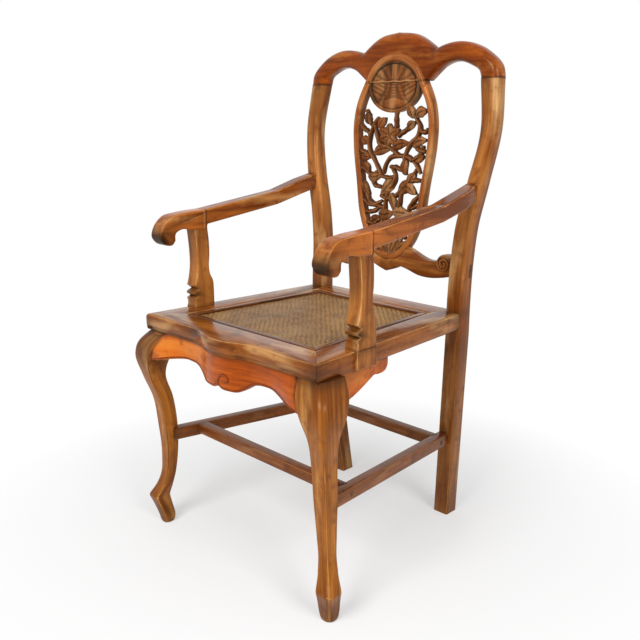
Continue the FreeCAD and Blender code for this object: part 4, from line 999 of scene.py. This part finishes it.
makePiece("caneWarp", strands(True), caneSkin, "cane", "cane_panel")
makePiece("caneWeft", strands(False), caneSkin, "cane")
stripLow, stripHigh = boxOf("cane_strip_front")
strip = {"side": 12, "end": 11, "round": (0.3, 2.0), "wornAndLit": 0.6}
stripSection = roundEdges(stripLow[2], stripHigh[2], *strip["round"], strip["wornAndLit"])
frontIn, rearIn = inner + [-strip["side"], strip["end"]], mitre - [strip["side"], strip["end"]]
stripPlans = {
    "Front": [inner * flipX, inner, frontIn, frontIn * flipX],
    "Rear": [rearIn * flipX, rearIn, mitre, mitre * flipX], "Right": [frontIn, inner, mitre, rearIn]}
for side, corners in stripPlans.items():
    stripLoop = closedLoop(edgeRun(*corners, corners[0]))
    stripShell = slab(stripLoop, stripSection, planPlace, 1 if side == "Right" else 0)
    makePiece("strip" + side, stripShell, wood["strip"], "dark_wood", "cane_strip_" + side.lower())
makePiece("stripLeft", mirrored(stripShell), wood["strip"], "dark_wood", "cane_strip_left")
print("cane")

# Front legs: squares carried up an S, with a bead along the two side arrises
leg = {
    "z": [0, 16, 40, 66, 90, 115, 160, 230, 300, 350, 400, 424, 451],
    "reach": [16.4, 19.8, 28, 39, 21, 8.8, 3.4, 6.5, 16.5, 37, 50, 42, 12],
    "side": [27, 30.5, 32.6, 36.5, 29, 25, 26.4, 31, 33.3, 39, 61, 66, 58],
    "foot": (254.6, -224.9), "splay": 0.032, "lip": 66, "lipAt": 3, "perCorner": 8, "soft": 3,
    "roundAt": [0, 30, 66, 120, 260, 360, 451], "nose": [12, 11, 8, 4, 4, 13, 17],
    "round": [9, 7, 6, 3, 3, 3, 3], "sole": 8, "soleIn": 3, "soleRows": [0, 0.8, 2.2, 4.5], "rows": (20, 90),
    "wornAndLitAt": [0, 300, 400], "wornAndLit": [1, 0.9, 0.5], "lipWorn": (2, 0.7), "seatBand": (451, 10, 0.7),
    "underLipShade": (64, -30, 0.45), "barDirt": (214, 12, 0.4), "barFrom": -212, "knee": (408, 40, 0.42)}
bead = {"low": 95, "high": 430, "half": 2, "along": 2, "in": 1.6, "ends": 0.15, "blunt": 0.3, "wornAndLit": 0.6}
legZ = np.r_[
    leg["soleRows"], np.linspace(leg["sole"], leg["lip"], leg["rows"][0]),
    np.linspace(leg["lip"], leg["z"][-1], leg["rows"][1])[1:]]


def legLine(name):
    # two smooth curves that meet at the lip, softened by the mean of three heights
    lines = []
    for shift in (-leg["soft"], 0, leg["soft"]):
        z = np.clip(legZ + shift, 0, leg["z"][-1])
        below, above = slice(leg["lipAt"] + 1), slice(leg["lipAt"], None)
        foot = valueThrough(leg["z"][below], leg[name][below], np.minimum(z, leg["lip"]))
        shank = valueThrough(leg["z"][above], leg[name][above], np.maximum(z, leg["lip"]))
        lines.append(np.where(z <= leg["lip"], foot, shank))
    return sum(lines) / len(lines)


legReach, legSide = legLine("reach"), legLine("side")
legSole = leg["soleIn"] * (1 - np.sqrt(1 - np.clip(1 - legZ / leg["sole"], 0, 1) ** 2))
legX = leg["foot"][0] + (legReach - leg["splay"] * legZ) * math.sqrt(0.5) - legSole
legY = leg["foot"][1] - (legReach + leg["splay"] * legZ) * math.sqrt(0.5) + legSole
legSide = legSide - 2 * legSole
legRound, legNose = [np.interp(legZ, leg["roundAt"], leg[name]) for name in ("round", "nose")]
sectX, sectY, sectWearAndHighlight = softSquare(
    legX - legSide, legX, legY, legY + legSide, legRound, leg["perCorner"], legNose)
legGrain = stacked(sectX - legX[:, None], sectY - legY[:, None], legZ[:, None])
legWearAndHighlight = sectWearAndHighlight[None] * np.interp(legZ, leg["wornAndLitAt"], leg["wornAndLit"])[:, None]
legWearAndHighlight = np.clip(legWearAndHighlight + band(legZ, leg["lip"], *leg["lipWorn"])[:, None], 0, 1)
legShell = gridShell(stacked(sectX, sectY, legZ[:, None]), legWearAndHighlight, legGrain)
beadZ = (legZ > bead["low"]) & (legZ < bead["high"])
beadTurn = np.linspace(bead["ends"], math.pi - bead["ends"], beadZ.sum())
beadHalf = bead["half"] * np.sin(beadTurn) ** bead["blunt"]
innerBead = np.stack([legX - legSide + bead["along"], legY + bead["in"], legZ], -1)[beadZ]
outerBead = np.stack([legX - bead["in"], legY + legSide - bead["along"], legZ], -1)[beadZ]


def legDirtAndShade(x, y, z):
    # painted shade under the seat's overhang, painted shade under the foot's lip, and dirt where the
    # stretcher enters
    barDirt = band(z, *leg["barDirt"]) * (y > leg["barFrom"])
    return band(z, *leg["seatBand"]) + fade(z, *leg["underLipShade"]) + barDirt


def kneeShade(x, y, z):
    # painted shade on the left knee
    return band(z, *leg["knee"])


legBeads = [tube(line, beadHalf, beadHalf, wornAndLit=bead["wornAndLit"]) for line in (innerBead, outerBead)]
legWhole = addDirtAndShade(merged(legShell, *legBeads), legDirtAndShade)
makePiece("legRight", legWhole, wood["leg"], "honey_wood", "front_leg_right")
makePiece("legLeft", addDirtAndShade(mirrored(legWhole), kneeShade), wood["leg"], "honey_wood", "front_leg_left")
print("legs")

# Aprons: the front one follows the seat's swell, with a bead along its edge and a tendril by the notch
apron = {
    "back": 8, "thick": 18, "round": 4, "end": 226, "ear": (118, 92), "earDeep": 21, "earTall": 30,
    "earCurve": 0.9, "faceRows": 18, "edgeRows": 6, "wornAndLit": 0.7, "seatBand": (4, 0.6), "kneeDirtAndShade": (5, 0.75),
    "lobe": [(0, -56), (8, -63), (28, -65.5), (48, -64), (58, -59)],
    "sweep": [(58, -59), (80, -46), (115, -41), (160, -46), (200, -55), (226, -59.5)],
    "beadIn": 4, "beadTrim": 4, "bead": (1.9, 1.4, 0.3), "lineIn": 0.3, "lineSides": 8, "lineShade": 0.6,
    "tendril": [(1, -58), (4, -44), (14, -35), (26, -37), (28, -46), (20, -49)], "tendrilRows": 30,
    "tendrilHalf": (3.0, 1.4), "tendrilDeep": 2.4, "tendrilDarkening": 0.2}
lobeRun = np.concatenate([smoothThrough(apron["lobe"], 20), smoothThrough(apron["sweep"], 44)[1:]])
lowerEdge = np.concatenate([(lobeRun * flipX)[::-1], lobeRun[1:]])
apronEnd = np.array((apron["end"], 0))


def apronPlace(x, up, t):
    # set back under the seat's edge, with ends that swell forward to the knees
    share, drop = fade(np.abs(x), *apron["ear"]), fade(-up, 0, apron["earTall"])
    ear = apron["earDeep"] * share ** 2 * (3 - 2 * share) * drop ** apron["earCurve"]
    return np.stack([x, serpentine(x) + apron["back"] + t - ear, seat["low"] + up], -1)


def apronBoard():
    # a section carried along x: down the face, round the lower edge, up the back
    bend = apron["round"]
    low = lowerEdge[:, 1, None] + bend
    turn, face = np.linspace(0, np.pi / 2, apron["edgeRows"])[1:], np.linspace(0, 1, apron["faceRows"])
    front = np.concatenate([low * face, low - bend * np.sin(turn)], 1)
    up = np.concatenate([front, front[:, ::-1]], 1)
    depth = np.r_[0 * face, bend * (1 - np.cos(turn))]
    across = np.broadcast_to(np.r_[depth, apron["thick"] - depth[::-1]], up.shape)
    wornAndLit = np.r_[0 * face, apron["wornAndLit"] * np.sin(2 * turn)]
    x = np.broadcast_to(lowerEdge[:, 0, None], up.shape)
    return gridShell(apronPlace(x, up, across), np.r_[wornAndLit, wornAndLit[::-1]][None], np.stack([up, across, x], -1))


def apronLine(flat, halfWidth, halfDepth, dirtAndShade):
    # a thin bead or scored line on the apron's face, darkened towards its back as painted shadow
    line = apronPlace(flat[:, 0], flat[:, 1], apron["lineIn"])
    return tube(line, halfWidth, halfDepth, apron["lineSides"], 0.5, dirtAndShade, apron["lineShade"])


def apronDirtAndShade(x, y, z):
    # painted shade and dark joints under the seat and beside the knees
    knee = np.interp(z, legZ, legX - legSide)
    return band(z, seat["low"], *apron["seatBand"]) + band(np.abs(x), knee, *apron["kneeDirtAndShade"])


edgeLoop = closedLoop((np.concatenate([lowerEdge, [apronEnd, apronEnd * flipX], lowerEdge[:1]]), False))
beadLine = lowerEdge - apron["beadIn"] * outwardSteps(*edgeLoop)[:len(lowerEdge)]
beadLine = beadLine[apron["beadTrim"]:-apron["beadTrim"]]
tendrilRun = smoothThrough(apron["tendril"], apron["tendrilRows"])
tendrilHalf = np.linspace(*apron["tendrilHalf"], apron["tendrilRows"])
tendril = apronLine(tendrilRun, tendrilHalf, apron["tendrilDeep"], apron["tendrilDarkening"])
apronShell = merged(addDirtAndShade(apronBoard(), apronDirtAndShade), apronLine(beadLine, *apron["bead"]), tendril)
makePiece("apronFront", apronShell, wood["red"], "red_wood", "front_apron")

bracket = {
    "end": -39.5, "thick": 18, "round": 3, "wornAndLit": 0.7, "joint": 90, "run": 6,
    "nose": [(0, -17), (-6, -26), (-28, -30), (-41, -28)],
    "sweep": [(-41, -28), (-106, -54), (-161, -64), (-190, -66)]}
bracketRun = np.concatenate([
    straight([(0, 0), bracket["nose"][0]], bracket["run"]), smoothThrough(bracket["nose"], 20)[1:],
    smoothThrough(bracket["sweep"], 30)[1:]])
bracketTip = bracket["sweep"][-1]
bracketJoint = straight([bracketTip, (bracketTip[0], 0), (0, 0)], bracket["joint"])


def bracketPlace(behind, up, t):
    # set back under the seat's side edge
    y = bracket["end"] + behind
    return np.stack([outerX(y) - apron["back"] - t, y, seat["low"] + up], -1)


bracketSection = roundEdges(0, bracket["thick"], bracket["round"], bracket["round"], bracket["wornAndLit"])
bracketShell = slab(closedLoop((bracketRun, False), (bracketJoint, True)), bracketSection, bracketPlace)
makePair("bracket", addDirtAndShade(bracketShell, apronDirtAndShade), wood["red"], "red_wood", "side_apron")
print("aprons")

# Stretchers
bar = {
    "wide": 24, "high": 26.5, "cross": 22.5, "round": 3.5, "front": (229.5, -215, 214), "inset": 19.5,
    "rear": (172.5, 230, 193), "rows": 40, "perCorner": 4, "endDirt": (0.03, 0.6)}


def barShell(start, end, height):
    # a rounded rectangle carried straight from start to end
    start, end = np.array(start, float), np.array(end, float)
    share, ones = np.linspace(0, 1, bar["rows"]), np.ones(bar["rows"])
    halfWide, halfHigh = bar["wide"] / 2 * ones, height / 2 * ones
    a, b, wearAndHighlight = softSquare(-halfWide, halfWide, -halfHigh, halfHigh, bar["round"] * ones, bar["perCorner"])
    reach = np.linalg.norm(end - start)
    ahead = (end - start) / reach
    side = np.cross(ahead, [0, 0, 1])
    side /= np.linalg.norm(side)
    up = np.cross(side, ahead)
    line = start + (end - start) * share[:, None]
    points = line[:, None] + a[..., None] * side + b[..., None] * up
    grain = stacked(a, b, share[:, None] * reach)
    darkening = band(share, 0, *bar["endDirt"]) + band(share, 1, *bar["endDirt"])
    return gridShell(points, wearAndHighlight[None], grain, darkening[:, None])


makePair("bar", barShell(bar["front"], bar["rear"], bar["high"]), wood["bar"], "plain_wood", "side_stretcher")
crossAt = []
barEnds = np.array([bar["front"], bar["rear"]])
for name in ("front", "rear"):
    crossLow, crossHigh = boxOf(name + "_stretcher")
    middle, reach = (crossLow + crossHigh) / 2, crossHigh[0] - bar["inset"]
    crossShell = barShell((-reach, *middle[1:]), (reach, *middle[1:]), bar["cross"])
    makePiece("bar" + name.title(), crossShell, wood["bar"], "plain_wood", name + "_stretcher")
    crossAt.append(np.interp(middle[1], barEnds[:, 1], barEnds[:, 0]) + bar["wide"] / 2)
print("stretchers")

# Ends of the through tenons, dark with old dust, as (outer x, middle y, middle z, length, height)
tenon = {"railZ": 574, "sink": 3, "proud": 0.4, "round": (0.2, 0.3), "step": 6, "darkening": 0.7}
slots = [
    (np.interp(tenon["railZ"], postZ, postX), 226, tenon["railZ"], 9, 34),
    (crossAt[0], -147, 210.6, 12, 9), (crossAt[1], 186, 195, 12, 9)]


def slotShell(outer, y, z, long, high):
    # a thin plate let into the outer face
    signs = np.array([(-1, -1), (1, -1), (1, 1), (-1, 1), (-1, -1)])
    corners = straight(signs * [long / 2, high / 2] + [y, z], tenon["step"])
    section = roundEdges(outer - tenon["sink"], outer + tenon["proud"], *tenon["round"])
    plate = slab(closedLoop((corners, False)), section, sidePlace, 1)
    return {**plate, "dirtAndShade": np.full(len(plate["dirtAndShade"]), tenon["darkening"])}


slotShells = merged(*[slotShell(*slot) for slot in slots])
makePiece("tenonEnds", merged(slotShells, mirrored(slotShells)), wood["bar"], "plain_wood")
print("tenon ends")

for name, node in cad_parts.items():
    if "peg" in name or "batten" in name:
        node.data.materials.clear()
        node.data.materials.append(wood["peg" if "peg" in name else "batten"])

# Stage: a white floor that keeps the shadow near the chair and turns plain white farther off
stage = {
    "half": 9, "grey": 0.94, "rough": 0.9, "specular": 0.1, "near": 0.3, "far": 0.85, "shadow": 0.6,
    "ambient": 0.32, "white": (1, 1, 1, 1)}
signs = np.array([(-1, -1, 0), (1, -1, 0), (1, 1, 0), (-1, 1, 0)])
floorMesh = bpy.data.meshes.new("floor")
floorMesh.from_pydata((signs * stage["half"]).tolist(), [], [(0, 1, 2, 3)])
floor = addObject("floor", floorMesh)
floorMaterial, floorShader, floorMake = newMaterial("floor")
floorShader.inputs["Base Color"].default_value = (*[stage["grey"]] * 3, 1)
floorShader.inputs["Roughness"].default_value = stage["rough"]
floorShader.inputs["Specular IOR Level"].default_value = stage["specular"]


def seenPlain(make):
    # 1 on rays from the camera, a mirror or glass
    kinds = ("Is Camera Ray", "Is Glossy Ray", "Is Transmission Ray")
    camera, glossy, through = [make.node("ShaderNodeLightPath", None, None, kind) for kind in kinds]
    return (camera + glossy + through).clamped(0, 1)


away = floorMake.node("ShaderNodeTexCoord", None, None, 3).length().clamped(stage["near"], stage["far"])
plain = (1 - (1 - away) * stage["shadow"]) * seenPlain(floorMake)
glow = floorMake.node("ShaderNodeEmission", None, {"Color": stage["white"], "Strength": 1.0})
lit = Value(floorMake.tree, floorShader.outputs[0])
mixed = floorMake.node("ShaderNodeMixShader", None, {0: plain, 1: lit, 2: glow})
floorMake.tree.links.new(mixed.socket, floorMake.tree.nodes["Material Output"].inputs["Surface"])
floorMesh.materials.append(floorMaterial)

scene.view_settings.view_transform = "Standard"
world = bpy.data.worlds.new("studio")
world.use_nodes = True
scene.world = world
sky = Value(world.node_tree, None)
background = world.node_tree.nodes["Background"]
background.inputs["Color"].default_value = stage["white"]
level = stage["ambient"] + (1 - stage["ambient"]) * seenPlain(sky)
sky.tree.links.new(level.socket, background.inputs["Strength"])

# place, aim and width in metres, and power in watts
lamps = {
    "key": {"place": (0.5, -2.5, 2.3), "aim": (0, 0, 0.6), "wide": 1.5, "power": 66},
    "side": {"place": (2.6, -0.7, 1.9), "aim": (0, 0, 0.5), "wide": 1.3, "power": 43}}


def addLight(name, place, aim, wide, power):
    # a round soft lamp turned towards its aim
    data = bpy.data.lights.new(name, "AREA")
    data.shape = "DISK"
    data.size = wide
    data.energy = power
    lamp = addObject(name, data)
    lamp.location = place
    ahead = np.array(aim) - np.array(place)
    flat = math.hypot(ahead[0], ahead[1])
    lamp.rotation_euler = (math.atan2(flat, -ahead[2]), 0, math.atan2(ahead[1], ahead[0]) - math.pi / 2)


for name, lamp in lamps.items():
    addLight(name, **lamp)

# Camera, fitted to the photo
view = {"lens": 43.35, "sensor": 36, "place": (1.0932, -1.0944, 0.8701), "tilt": 75.4793, "turn": 44.7735}
cameraData = bpy.data.cameras.new("camera")
cameraData.lens = view["lens"]
cameraData.sensor_width = view["sensor"]
camera = addObject("camera", cameraData)
camera.location = view["place"]
camera.rotation_euler = (math.radians(view["tilt"]), 0, math.radians(view["turn"]))
scene.camera = camera
